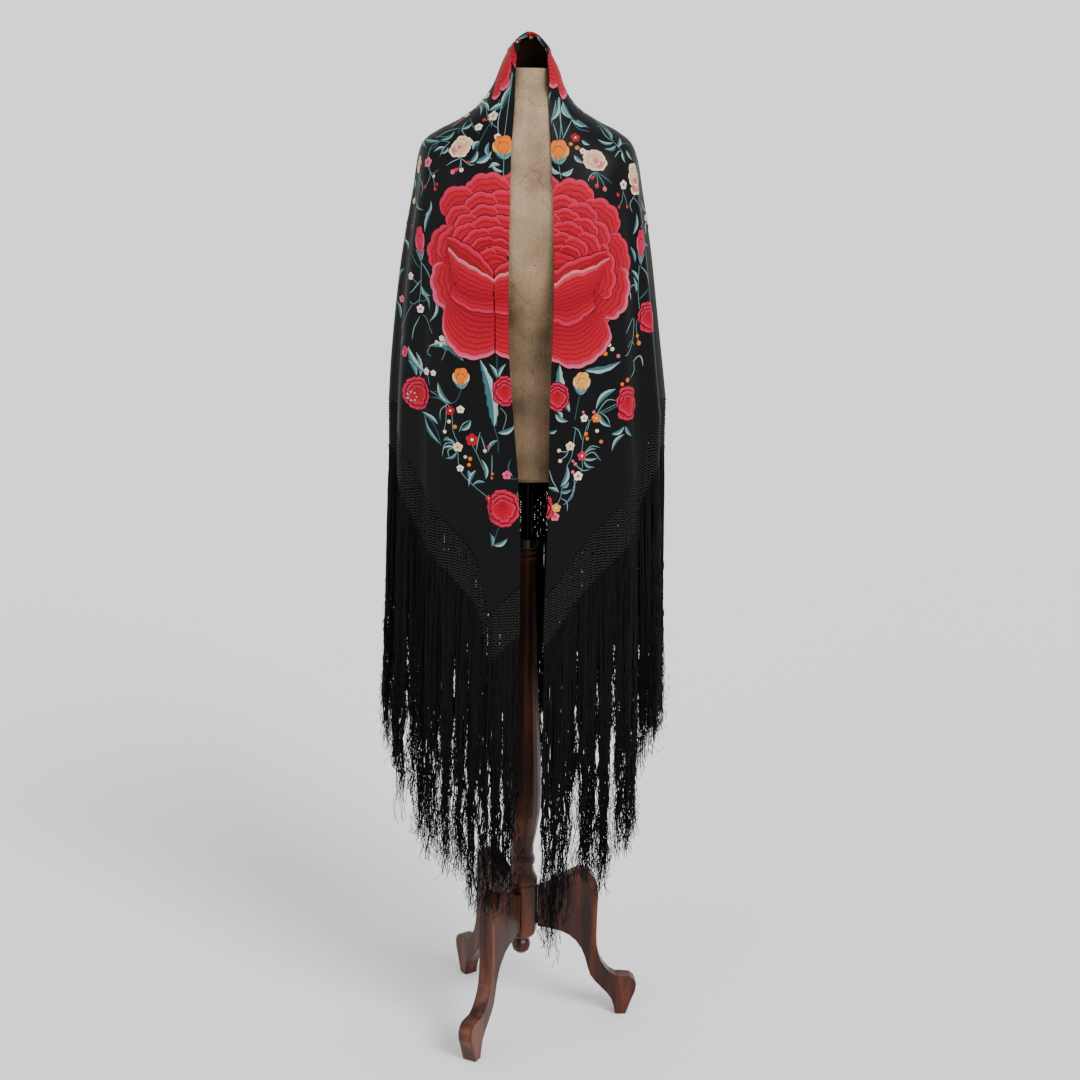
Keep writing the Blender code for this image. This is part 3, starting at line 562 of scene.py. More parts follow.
def net_knots(hem, chance):
    """Rows of slanting knots over the whole depth of the net."""
    length = hem[0][-1] - 2 * SEAM_GAP
    columns = int(round(length / KNOT_WIDTH))
    pitch = length / columns
    place = SEAM_GAP + (np.arange(columns) + 0.5) * pitch
    drop = (np.arange(NET_ROWS) + 0.5) * NET_DEPTH / NET_ROWS
    place, drop = np.meshgrid(place, drop, indexing="ij")
    column = np.broadcast_to(np.arange(columns)[:, None], place.shape)
    keep = chance.random(place.shape) > KNOT_MISSING
    place, drop, column = place[keep], drop[keep], column[keep]
    place = place + chance.uniform(-KNOT_STRAY, KNOT_STRAY, place.shape)
    drop = drop + chance.uniform(-KNOT_STRAY, KNOT_STRAY, place.shape)
    centre, way, away = read_hem(hem, place)
    centre[:, 2] -= drop
    centre = centre - away * KNOT_BACK
    up = np.array([0.0, 0.0, 1.0])
    slope = np.radians(KNOT_SLOPE) * np.where(column % 2, 1.0, -1.0)
    slope = (slope + chance.uniform(-KNOT_SLOPE_STRAY, KNOT_SLOPE_STRAY, place.shape))[:, None]
    axis = way * np.cos(slope) + up * np.sin(slope)
    side = -way * np.sin(slope) + up * np.cos(slope)
    half = pitch * KNOT_REACH
    paths = np.stack([centre + axis * half * s for s, _ in KNOT_SHAPE], axis=1)
    widths = np.tile(np.array([w for _, w in KNOT_SHAPE]), (len(centre), 1))
    return tubes(paths, side, away * KNOT_DEEP, widths, sides=4)


def net_cords(hem, chance):
    """Upright cords behind the knots, nearly side by side, with a pin-hole here and there."""
    length = hem[0][-1]
    cords = int(length / KNOT_WIDTH)
    root, way, away = read_hem(hem, np.linspace(CORD_END, length - CORD_END, cords))
    shift = chance.normal(0.0, CORD_STRAY, (cords, len(CORD_LEVELS)))
    paths = root[:, None, :] + way[:, None, :] * shift[..., None] - away[:, None, :] * CORD_BACK
    paths[..., 2] -= CORD_LEVELS[None]
    plain, thin = CORD_WIDTHS
    widths = np.where(chance.random(paths.shape[:2]) < CORD_HOLES, thin, plain)
    return tubes(paths, way, away * CORD_DEEP, widths)


def net_piece(name, hem, mats, chance):
    points, faces = net_knots(hem, chance)
    more, quads = net_cords(hem, chance)
    which = np.concatenate([np.zeros(len(faces), int), np.ones(len(quads), int)])
    faces = np.concatenate([faces, quads + len(points)])
    piece = mesh_piece(name, np.concatenate([points, more]), faces, mats, which)
    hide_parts(name.replace("_knots", ""))
    return piece


# Two kinds of strand: its count, the levels of its points, how far it strays, how uneven its end is.
STRAND_KINDS = (
    (560, np.concatenate([np.linspace(0.0, 0.55, 5), np.linspace(0.55, 1.0, 7)[1:]]), 0.35, 0.055),
    (300, np.concatenate([np.linspace(0.0, 0.40, 8), np.linspace(0.40, 1.0, 40)[1:]]), 1.0, 0.030),
)
LAYERS = (0.0006, -0.0006)  # the outer and the inner one, off the middle of the fringe
LOCK_WIDTHS = (0.006, 0.017)
LOCK_MARGIN = 0.001
LOCK_DRIFT = 0.0055  # how far along the hem a lock's foot strays
LOCK_DEPTH = 0.0022  # how far out it stands, and how far out it bows
LOCK_SWAY = 0.004
LOCK_UNEVEN = 0.026  # how uneven the ends of the locks are
LOCK_TIGHT = (0.02, 0.20)  # share of the way to the lock's middle that its strands draw in
LOCK_WANDER = (0.0012, 0.0048)  # its slow wave along the hem: half width and length
LOCK_ROAM = (0.070, 0.130)
CURL = (0.0014, 0.0070)  # a strand's own curl: half width and length
CURL_WAVE = (0.021, 0.042)
CURL_FROM = (0.42, 0.45)  # level at which the curl grows and over how much, and so for the tips
TIPS_FROM = (0.72, 0.28)
STRAY_ALONG = (0.0100, 0.015)  # how far the tips fly, along the hem and out of it, and at most
STRAY_OUT = (0.0050, 0.007)
END_DROP = 0.024
FLARE = 0.010  # how far the ends at the sides hang outward
STRAND_HALF = (0.00075, 0.00120)
STRAND_TAPER = 0.45
STRAND_END = 0.0012
STRAND_BACK = 0.0012  # how far the strands lie behind the hem's outer face
UNDER_NET = 0.003  # how far the strands start above the net's foot
FULL_TURN = 6.28


def locks_of(length, chance):
    """Cuts a run into locks of uneven width, and gives their edges."""
    edges = [0.0]
    while edges[-1] < length:
        edges.append(edges[-1] + chance.uniform(*LOCK_WIDTHS))
    edges = np.array(edges)
    return edges * length / edges[-1]


def stray_of(limits, count, chance):
    spread, most = limits
    return np.clip(chance.normal(0.0, spread, (count, 1)), -most, most)


def fringe_piece(name, hem, mat, chance):
    """A stretch of fringe: straight strands, and others that are frayed and curled low down."""
    run, turns = hem[0], hem[4]
    length = run[-1]
    parts, first = [], 0
    for layer in LAYERS:
        edges = locks_of(length - 2 * LOCK_MARGIN, chance) + LOCK_MARGIN
        middle = 0.5 * (edges[1:] + edges[:-1])
        locks = len(middle)
        drift = chance.normal(0.0, LOCK_DRIFT, locks)
        depth = chance.uniform(-LOCK_DEPTH, LOCK_DEPTH, locks)
        sway = chance.uniform(-LOCK_SWAY, LOCK_SWAY, locks)
        extra = chance.normal(0.0, LOCK_UNEVEN, locks)
        tight = chance.uniform(*LOCK_TIGHT, locks)
        wander = chance.uniform(*LOCK_WANDER, locks)
        roam = chance.uniform(*LOCK_ROAM, locks)
        began = chance.uniform(0, FULL_TURN, locks)
        for count, levels, wild, uneven in STRAND_KINDS:
            n = count // len(LAYERS)
            place = np.sort(chance.uniform(STRAND_END, length - STRAND_END, n))
            lock = np.clip(np.searchsorted(edges, place) - 1, 0, locks - 1)
            root, way, away = read_hem(hem, place)
            root[:, 2] -= NET_DEPTH - UNDER_NET
            end_z = by_turn(ENDS_LEFT, ENDS_RIGHT, np.interp(place, run, turns)) + extra[lock]
            end_z = end_z + np.abs(chance.normal(0.0, uneven, n)) - END_DROP
            lock = lock[:, None]  # from here on, rows are strands and columns are levels
            level = levels[None]
            drop = (root[:, 2] - end_z)[:, None] * level
            late = smooth_step((level - CURL_FROM[0]) / CURL_FROM[1])
            tips = smooth_step((level - TIPS_FROM[0]) / TIPS_FROM[1])
            offset = (middle[lock] - place[:, None]) * tight[lock] * smooth_step(level / 0.5)
            offset = offset + drift[lock] * level
            slow = drop / roam[lock] * 2 * math.pi + began[lock]
            offset = offset + wander[lock] * np.sin(slow) * smooth_step((level - 0.25) / 0.4)
            curl = wild * chance.uniform(*CURL, (n, 1)) * (0.20 + 0.80 * late + 0.55 * tips)
            wave_length = chance.uniform(*CURL_WAVE, (n, 1))
            phase = chance.uniform(0, FULL_TURN, (n, 1))
            beat = drop / wave_length * 2 * math.pi + phase
            offset = offset + curl * np.sin(beat + 1.3 * np.sin(0.37 * beat))
            stray = stray_of(STRAY_ALONG, n, chance)
            offset = offset + wild * stray * tips
            lift = depth[lock] + sway[lock] * np.sin(math.pi * level)
            lift = lift * smooth_step(level / 0.2) - STRAND_BACK + layer
            lift = lift + curl * 0.9 * np.cos(beat * 1.13 + phase * 1.7)
            stray = stray_of(STRAY_OUT, n, chance)
            lift = lift + wild * stray * tips
            far = root[:, :2] / np.linalg.norm(root[:, :2], axis=1, keepdims=True)
            flare = np.abs(far[:, :1]) * FLARE * level
            path = root[:, None, :] + way[:, None, :] * offset[..., None]
            path = path + away[:, None, :] * lift[..., None]
            path[..., :2] += far[:, None, :] * flare[..., None]
            path[..., 2] -= drop
            width = chance.uniform(*STRAND_HALF, (n, 1)) * (1.0 - STRAND_TAPER * late)
            points, faces = tubes(path, way, away, width)
            parts.append((points, faces + first))
            first += len(points)
    points, faces = (np.concatenate(each) for each in zip(*parts))
    piece = mesh_piece(name, points, faces, [mat])
    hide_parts(name.replace("_strands", ""))
    return piece


# ------------------------------------------------------------------ embroidery
# Linear colours of the silks.
SILKS = {
    "crimson": (0.362, 0.0005, 0.0130), "scarlet": (0.295, 0.0006, 0.0085),
    "rose": (0.425, 0.008, 0.045), "pink": (0.50, 0.072, 0.145), "blush": (0.52, 0.115, 0.160),
    "peach": (0.60, 0.36, 0.20), "cream": (0.63, 0.51, 0.34), "white": (0.68, 0.61, 0.53),
    "orange": (0.64, 0.135, 0.004), "amber": (0.62, 0.28, 0.05), "teal": (0.030, 0.108, 0.125),
    "pale": (0.130, 0.255, 0.262), "mist": (0.265, 0.375, 0.350), "red": (0.38, 0.006, 0.012),
    "dark": (0.026, 0.0008, 0.0025),
}
MM = 0.001
STITCH_LIFT = 0.35  # mm over the cloth, and for each level over the one below
LEVEL_LIFT = 0.11
RIDGE = 0.10
OUTLINE = 1.25
ROW_STEPS = (0.0, 0.22, 0.78)  # places of a ridged row's lines, and their heights and shades
ROW_CRESTS = (0.0, 1.0, 0.9)
# The row shades are painted shade: each ridged row is darkest in its groove.
ROW_SHADES = (0.55, 1.0, 1.04)
RIM_SHARE = 0.22
SCALLOP = 0.8  # how round the scallops are
FAN_CURL = 0.42
FAN_SCALLOP = 0.055
FAN_ROOT = 0.45
BAND_STEPS = 41
BAND_SCALLOP = 2.0
BAND_RIM = 10.0
STEM_WIDTH = 0.9
TENDRIL_WIDTH = 1.7
LEAF_LINES = ((0.7, 0.75), (1.35, 1.0), (0.35, 0.85))  # height and shade from the rib to the edge
TOOTH = 0.34


def unit(ways):
    return ways / np.maximum(np.linalg.norm(ways, axis=1), 1e-6)[:, None]


def length_of(line):
    return np.linalg.norm(np.diff(line, axis=0), axis=1).sum()


def heading(start, end):
    """Two points, the unit way from one to the other, the way to its right, and their distance."""
    start, end = np.asarray(start, float), np.asarray(end, float)
    length = np.linalg.norm(end - start)
    way = (end - start) / length
    return start, end, way, np.array([way[1], -way[0]]), length


def pairs(row):
    return np.array(row, float).reshape(-1, 2)


def smooth_line(points, count):
    """A smooth line through a few points, in evenly spaced steps."""
    if len(points) == 2:
        return points[0] + (points[1] - points[0]) * np.linspace(0, 1, count)[:, None]
    line = columns_at(points, np.linspace(0, len(points) - 1, 12 * len(points))).T
    run = np.concatenate([[0.0], np.cumsum(np.linalg.norm(np.diff(line, axis=0), axis=1))])
    at = np.linspace(0, run[-1], count)
    return np.stack([np.interp(at, run, line[:, k]) for k in range(2)], axis=1)


def tone_of(name, shade=1.0):
    return np.array(SILKS[name]) * shade


class Stitching:
    """Stitched shapes in mm round an anchor, to be laid on the cloth together."""

    def __init__(self):
        self.points, self.faces, self.tones, self.threads, self.count = [], [], [], [], 0

    def grid(self, lines, heights, tones, run, deep):
        """A grid from lines across it, with a height, a tone and a depth in its row for each line."""
        rows, cols = lines.shape[:2]
        heights = np.broadcast_to(np.asarray(heights)[:, None, None], (rows, cols, 1))
        tones = np.broadcast_to(np.stack(tones)[:, None], (rows, cols, 3))
        threads = np.broadcast_arrays(np.linspace(0, run, cols)[None, :], np.asarray(deep)[:, None])
        self.faces.append(grid_quads(rows, cols, self.count))
        self.points.append(np.concatenate([lines, heights], axis=-1).reshape(-1, 3))
        self.tones.append(tones.reshape(-1, 3))
        self.threads.append(np.stack(threads, axis=-1).reshape(-1, 2))
        self.count += rows * cols

    def patch(self, lines, heights, tones, level=0):
        """A grid whose heights are shares of its level's height over the cloth."""
        base = STITCH_LIFT + level * LEVEL_LIFT
        deep = np.arange(len(lines)) * 1.0
        self.grid(np.stack(lines), np.array(heights, float) * base, tones, length_of(lines[1]), deep)

    def cord(self, line, half, tone, far_shade):
        """A raised line, with its half width, painted darker along its sides as shade."""
        way = np.gradient(line, axis=0)
        side = unit(np.stack([way[:, 1], -way[:, 0]], axis=1)) * half
        # Painted shade: both sides darker than the crest, the far side by far_shade.
        tones = [tone_of(tone, s) for s in (0.7, 1.0, far_shade)]
        self.patch([line - side, line, line + side], (0.35, 1.3, 0.35), tones)


def ribbed(chart, inner, outer, level, tone, rim, rows, rim_share=RIM_SHARE):
    """Satin stitch between two lines, in ridged rows that follow the outer one, with a dark edge; painted
    shade darkens each row's groove and the rows near the inner line.
    """
    v = np.array([(r + s) / rows for r in range(rows) for s in ROW_STEPS] + [1.0])
    crest = np.array([*ROW_CRESTS * rows, 0.2])
    # Painted shade: darker in each groove, and darker towards the inner line, where the next petals lie
    # over this one.
    shade = np.array([*ROW_SHADES * rows, 0.95]) * (0.70 + 0.38 * v)
    width = np.linalg.norm(outer - inner, axis=1).mean()
    way = unit(outer - inner)
    places = inner[None] + (outer - inner)[None] * v[:, None, None]
    places = np.concatenate([places, [outer + way * 0.15, outer + way * OUTLINE]])
    base = STITCH_LIFT + level * LEVEL_LIFT
    heights = np.concatenate([base + crest * RIDGE, [base - 0.02, base - 0.08]])
    mix = smooth_step((v - 1.0 + rim_share) / rim_share)[:, None]
    tones = (tone_of(tone) * (1 - mix) + tone_of(rim) * mix) * shade[:, None]
    tones = np.concatenate([tones, [tone_of("dark"), tone_of("dark", 0.5)]])
    chart.grid(places, heights, tones, length_of(outer), np.concatenate([v * width, [width, width]]))


def fan(chart, focus, tip, width, length, level, tone, rim, rows, scallops):
    """A petal like a scale: its scalloped edge at the tip, its root hidden under the next ones."""
    _, tip, way, side, _ = heading(focus, tip)
    t = np.linspace(-1.0, 1.0, 5 * scallops + 1)
    bump = np.abs(np.sin(0.5 * math.pi * scallops * (t + 1.0))) ** SCALLOP
    reach = length * (1.0 - FAN_CURL * (1.0 - np.cos(0.5 * math.pi * t))) + bump * width * FAN_SCALLOP
    reach = reach - width * FAN_SCALLOP
    across = 0.5 * width * np.sin(0.5 * math.pi * t)
    root = tip - way * length
    outer = root + way * reach[:, None] + side * across[:, None]
    inner = root + side * (across * FAN_ROOT)[:, None]
    ribbed(chart, inner, outer, level, tone, rim, rows)


def band(chart, inner, outer, level, tone, rim, rows, waves):
    """A petal between two drawn lines, its outer edge scalloped."""
    inner = smooth_line(pairs(inner), BAND_STEPS)
    outer = smooth_line(pairs(outer), BAND_STEPS)
    bump = np.abs(np.sin(math.pi * waves * np.linspace(0.0, 1.0, BAND_STEPS))) ** SCALLOP
    wave = unit(outer - inner) * ((bump - 0.6) * BAND_SCALLOP)[:, None]
    inner, outer = inner + wave * 0.6, outer + wave
    width = np.linalg.norm(outer - inner, axis=1).mean()
    ribbed(chart, inner, outer, level, tone, rim, rows, BAND_RIM / max(14.0, width))


def stem(chart, row, tone):
    points = pairs(row)
    line = smooth_line(points, max(4, int(length_of(points) / 4)))
    chart.cord(line, STEM_WIDTH * 0.5, tone, 0.7)


def tendril(chart, row, tone):
    """A thin curved leaf that tapers at both ends."""
    line = smooth_line(pairs(row), 9)
    half = 0.5 * TENDRIL_WIDTH * np.sin(math.pi * np.linspace(0.06, 0.97, 9)) ** 0.6
    chart.cord(line, half[:, None], tone, 0.8)


def leaf(chart, row, near, far, level=0):
    """A leaf in two tones, split along its rib: its foot, tip, width, bend and number of teeth."""
    base, _, way, side, length = heading(row[0:2], row[2:4])
    width, bend = row[4:6]
    teeth = row[6] if len(row) > 6 else 0
    t = np.linspace(0.0, 1.0, max(7, 3 * teeth + 1))
    rib = base + way * (t * length)[:, None] + side * (bend * length * np.sin(math.pi * t))[:, None]
    shape = np.sin(math.pi * t**0.8) ** 0.9 * (1.0 - TOOTH * ((t * teeth) % 1.0))
    for sign, tone in ((-1, near), (1, far)):
        edge = rib + side * (sign * 0.5 * width * shape)[:, None]
        lines = [rib, 0.5 * (rib + edge), edge][::-sign]
        # Painted shade: each half is darker along the rib and at its edge than on its raised middle.
        heights, shades = zip(*LEAF_LINES[::-sign])
        chart.patch(lines, heights, [tone_of(tone, s) for s in shades], level)


def dome(chart, row, tone, level=1):
    """A small raised dot: its middle and radius."""
    angle = np.linspace(0, 2 * math.pi, 9)
    ring = np.stack([np.cos(angle), -np.sin(angle)], axis=1) * row[2]
    lines = [row[:2] + ring * s for s in (0.05, 0.6, 1.0)]
    # Painted shade: the dot's low rim is darker than its top.
    chart.patch(lines, (2.2, 1.8, 0.3), [tone_of(tone, s) for s in (1.0, 1.0, 0.75)], level)


def dots(chart, row, tone):
    for k in range(7):
        angle = k * 2 * math.pi / 7
        x, y = row[0] + row[2] * math.cos(angle), row[1] + row[2] * math.sin(angle)
        dome(chart, (x, y, row[2] * 0.28), tone, 8)


def round_petal(chart, focus, tip, width, tone, rim, level, notch=0.0, ink=0.8, rows=2):
    """A short petal: narrow at its root, round at its tip, with an inked edge."""
    focus, tip, way, side, length = heading(focus, tip)
    t = np.linspace(-1.0, 1.0, 11)
    reach = length * (0.50 + 0.50 * np.cos(0.5 * math.pi * t) - notch * np.exp(-((t / 0.3) ** 2)))
    across = 0.5 * width * np.sin(0.5 * math.pi * t)
    outer = focus + way * reach[:, None] + side * across[:, None]
    inner = focus + way * length * 0.08 + side * (across * 0.2)[:, None]
    out = unit(outer - inner)
    # Painted shade: the petal's rows darken towards its root, under the petals that lie over it.
    stops = [(s, 1.25 - 0.25 * s, tone_of(tone, 0.72 + 0.3 * s)) for s in np.linspace(0.0, 0.78, rows + 1)]
    stops += [(0.84, 1.05, tone_of(rim)), (1.0, 1.0, tone_of(rim, 0.95))]
    lines = [inner + (outer - inner) * s for s, _, _ in stops]
    heights = [h for _, h, _ in stops]
    tones = [c for _, _, c in stops]
    if ink:
        lines += [outer + out * 0.1, outer + out * ink]
        heights += [1.0, 0.9]
        tones += [tone_of("dark"), tone_of("dark", 0.4)]
    chart.patch(lines, heights, tones, level)


def floret(chart, row, tone, eye):
    """Five petals round an eye: its middle and radius."""
    centre, radius = np.array(row[:2], float), row[2]
    for k in range(5):
        angle = 0.3 + k * 2 * math.pi / 5
        tip = centre + radius * np.array([math.cos(angle), math.sin(angle)])
        round_petal(chart, centre, tip, radius * 0.92, tone, tone, 1, 0.0, 0.0, 1)
    dome(chart, (*row[:2], radius * 0.30), eye, 3)


# The petals of a small rose: angle, start, reach, width, level. Its scales are the darker ones.
ROSE_LOBES = [(k * 2 * math.pi / 8, 0.25, 1.0, 0.74, 1 + 0.5 * (k % 2) + 0.1 * k) for k in range(8)]
ROSE_LOBES += [(0.20 + k * 0.68, 0.05, 0.76, 0.54, 3.5 + k * 0.5) for k in range(5)]
ROSE_SCALES = [(0.75 + k * 0.80, 0.0, 0.52, 0.40, 7 + k * 0.5) for k in range(3)]
ROSE_CUP = [(3.55, -0.24, 0.78, 0.80, 10.5), (-0.42, -0.24, 0.78, 0.80, 10.5)]
ROSE_CUP += [(4.72, -0.10, 0.80, 0.50, 10)]
# The petals of a ruffled flower: angle, start, reach, width, and whether it is in blush.
BLOOM_PETALS = (
    (0.35, -0.1, 1.05, 0.85, False), (1.25, 0.0, 1.05, 0.80, False), (2.30, 0.0, 0.85, 0.80, False),
    (3.40, 0.0, 1.05, 0.95, True), (4.45, 0.0, 0.90, 0.85, False), (5.50, 0.0, 0.80, 0.75, False),
    (0.9, -0.1, 0.60, 0.50, False), (2.9, -0.1, 0.5, 0.45, True),
)
# The petals of a bud: how far it leans, its reach and width, and whether it is an outer one.
BUD_PETALS = (
    (-0.80, 0.80, 0.62, True), (0.80, 0.80, 0.62, True), (-0.35, 0.98, 0.60, False),
    (0.40, 1.0, 0.58, False), (0.0, 0.72, 0.50, False),
)


def rose(chart, row, tone, rim):
    """A small rose from its side: its middle, radius, turn and how much it is squeezed."""
    centre, radius, turn = np.array(row[:2], float), row[2], row[3]
    wide = np.array([row[4] if len(row) > 4 else 1.0, 1.0])
    inner = "scarlet" if tone == "crimson" else tone
    for lobes, colour in ((ROSE_LOBES, tone), (ROSE_SCALES, inner), (ROSE_CUP, tone)):
        for angle, start, reach, width, level in lobes:
            way = np.array([math.cos(turn + angle), math.sin(turn + angle)]) * radius * wide
            petal = (centre + way * start, centre + way * reach, width * radius)
            round_petal(chart, *petal, colour, rim, level, 0.12, 1.5, 3)


def bloom(chart, row, tone, rim):
    """A ruffled flower from its side: two high petals, two low ones and a heart."""
    centre, radius, turn, squeeze = np.array(row[:2], float), *row[2:]
    for k, (angle, start, reach, width, warm) in enumerate(BLOOM_PETALS):
        way = np.array([math.cos(angle + turn) * squeeze, math.sin(angle + turn)]) * radius
        petal = (centre + way * start, centre + way * reach, width * radius)
        round_petal(chart, *petal, "blush" if warm else tone, rim, 1 + 0.8 * k, 0.12, 0.6)


def bud(chart, row, tone, rim, calyx):
    """A bud and the green cup under it: its foot, tip and width."""
    foot, tip, _, side, _ = heading(row[0:2], row[2:4])
    way, width = tip - foot, row[4]
    for k, (lean, reach, wide, outside) in enumerate(BUD_PETALS):
        end = foot + way * reach + side * lean * width * 0.42
        colour = rim if outside else tone
        round_petal(chart, foot + way * 0.12, end, width * wide, colour, colour, 1 + k, 0.05, 1.2)
    for lean in (-0.85, -0.35, 0.35, 0.85):
        end = foot + way * 0.34 + side * lean * width * 0.5
        leaf(chart, (*foot, *end, width * 0.16, 0.0), calyx, "pale", 7)


DRAW = {
    "stem": stem, "tendril": tendril, "leaf": leaf, "berry": dome, "dots": dots,
    "floret": floret, "rose": rose, "bloom": bloom, "bud": bud,
}
# Every chart is in mm round its anchor, which is a turn in degrees and a row of the cloth.
# Fans by silk and rim: tip, width, length, rows, scallops. Bands: silk and rim, rows, waves, the
# inner line and the outer one. Motifs by kind and silks: what the kind's function names, or for a
# stem and a tendril the points on its line. Where the anchor is None, the chart is laid elsewhere.
BLOOM_LEFT = (  # anchor, focus, fans, bands
    (12.8, 9.23),
    (0, 0),
    (
        ("crimson rose", (
            (27, 154, 53, 63, 7, 3), (-18, 155, 72, 66, 7, 4), (-77, 129, 60, 63, 7, 3),
            (-111, 46, 72, 56, 6, 4),
        )),
        ("crimson pink", ((-105, -36, 82, 63, 7, 4),)),
        ("crimson rose", (
            (16, 129, 53, 47, 5, 2), (-29, 124, 53, 47, 5, 3), (-71, 99, 44, 44, 5, 3),
            (-91, 53, 53, 38, 4, 3), (10, 107, 44, 41, 5, 2), (-24, 105, 47, 41, 5, 3),
            (-57, 87, 41, 41, 5, 3), (16, 89, 47, 38, 4, 2), (-21, 87, 50, 38, 4, 3),
            (-62, 68, 47, 38, 4, 3), (4, 72, 47, 31, 4, 3), (-38, 64, 47, 34, 4, 3),
        )),
        ("scarlet rose", ((10, 53, 38, 28, 4, 3), (-28, 52, 44, 31, 4, 3),)),
        ("crimson rose", ((3, 41, 41, 25, 3, 3), (-20, 34, 34, 25, 3, 2),)),
        ("scarlet crimson", ((6, 28, 34, 22, 3, 2), (-7, 17, 34, 19, 3, 2),)),
    ),
    (
        ("crimson pink", 9, 6, (1, -63, -27, -61, -56, -51, -69, -42),
         (1, -129, -29, -140, -57, -134, -76, -112, -83, -86, -79, -57)),
        ("crimson pink", 9, 3, (57, -65, 28, -67, 2, -65), (58, -142, 29, -139, 3, -129)),
        ("crimson rose", 4, 3, (-1, -38, -24, -39, -46, -32, -67, -20),
         (-1, -65, -33, -63, -52, -55, -70, -42)),
        ("crimson rose", 4, 2, (56, -43, 28, -41, 1, -40), (57, -68, 28, -67, 1, -65)),
        ("scarlet rose", 4, 4, (-1, -32, -27, -17, -53, 5, -73, 29), (-2, 0, -24, 27, -50, 44, -75, 54)),
        ("scarlet rose", 4, 2, (0, -32, 15, -28, 34, -28), (0, 3, 14, 14, 33, 21)),
        ("crimson blush", 6, 4, (-3, -43, -30, -41, -54, -32, -67, -13),
         (-1, -11, -31, 6, -56, 20, -75, 38)),
        ("crimson blush", 6, 2, (0, -43, 15, -42, 37, -42), (-1, -11, 11, -2, 36, 4)),
    ),
)
BLOOM_RIGHT = (  # anchor, focus, fans, bands
    (339.1, 9.42),
    (-24, -12),
    (
        ("crimson rose", (
            (54, -89, 72, 78, 8, 3), (-45, 143, 47, 63, 7, 2), (3, 140, 66, 66, 7, 4),
            (59, 102, 72, 63, 7, 4), (96, 24, 78, 53, 6, 4),
        )),
        ("crimson pink", ((95, -49, 85, 63, 7, 4),)),
        ("crimson rose", (
            (-20, 115, 56, 47, 5, 3), (18, 102, 53, 47, 5, 3), (49, 69, 50, 47, 5, 3),
            (68, -4, 88, 44, 5, 4), (-15, 94, 50, 41, 5, 3), (24, 77, 47, 41, 5, 3),
            (-47, 87, 41, 41, 5, 2), (-8, 74, 50, 35, 4, 3), (34, 50, 44, 38, 4, 3),
            (-46, 63, 41, 35, 4, 2), (-21, 57, 44, 31, 4, 3), (10, 46, 41, 35, 4, 2),
        )),
        ("scarlet rose", ((-29, 38, 38, 28, 4, 2), (-3, 35, 35, 28, 4, 2),)),
        ("crimson crimson", ((-38, 25, 31, 22, 3, 2), (-13, 22, 35, 22, 3, 2),)),
        ("scarlet crimson", ((-24, 13, 31, 19, 3, 2),)),
    ),
    (
        ("crimson pink", 10, 8, (-71, -85, -35, -82, -11, -86, 18, -76, 33, -68),
         (-70, -146, -34, -147, -6, -159, 26, -153, 50, -133, 61, -107, 49, -80)),
        ("crimson rose", 4, 5, (-63, -56, -32, -59, 1, -55, 29, -38),
         (-71, -82, -35, -83, -7, -90, 33, -65)),
        ("scarlet rose", 4, 4, (-55, -37, -24, -37, 9, -19, 48, 9),
         (-56, 0, -32, -3, -11, 10, 13, 17, 51, 28)),
        ("crimson blush", 8, 5, (-55, -64, -28, -64, 6, -55, 32, -36, 48, -7),
         (-55, -25, -30, -22, -10, -6, 22, 0, 56, 17)),
    ),
)
COLLARS = (  # anchor, bands
    ((58, 1.53), (
        ("crimson pink", 8, 1, (-28, -4, -12, 11, -12, 28), (-5, -56, 4, -55, 9, -47)),
        ("crimson pink", 8, 2, (-26, 20, -16, 31, -5, 30), (5, -39, 15, -38, 21, -27)),
        ("crimson rose", 5, 4, (-30, 5, -26, 20, -21, 36, -21, 36), (3, -36, 14, -29, 17, -12, 10, 11)),
        ("scarlet rose", 6, 1, (-21, 36, -8, 32, 5, 26), (18, -2, 24, -6, 30, -4)),
    )),
    ((292.7, 2), (
        ("crimson pink", 9, 1, (-10, 36, 2, 39, 18, 31), (-30, -21, -23, -24, -10, -22)),
        ("crimson pink", 10, 1, (-1, 39, 18, 29, 22, 10), (-11, -25, -10, -44, 27, -29)),
    )),
)
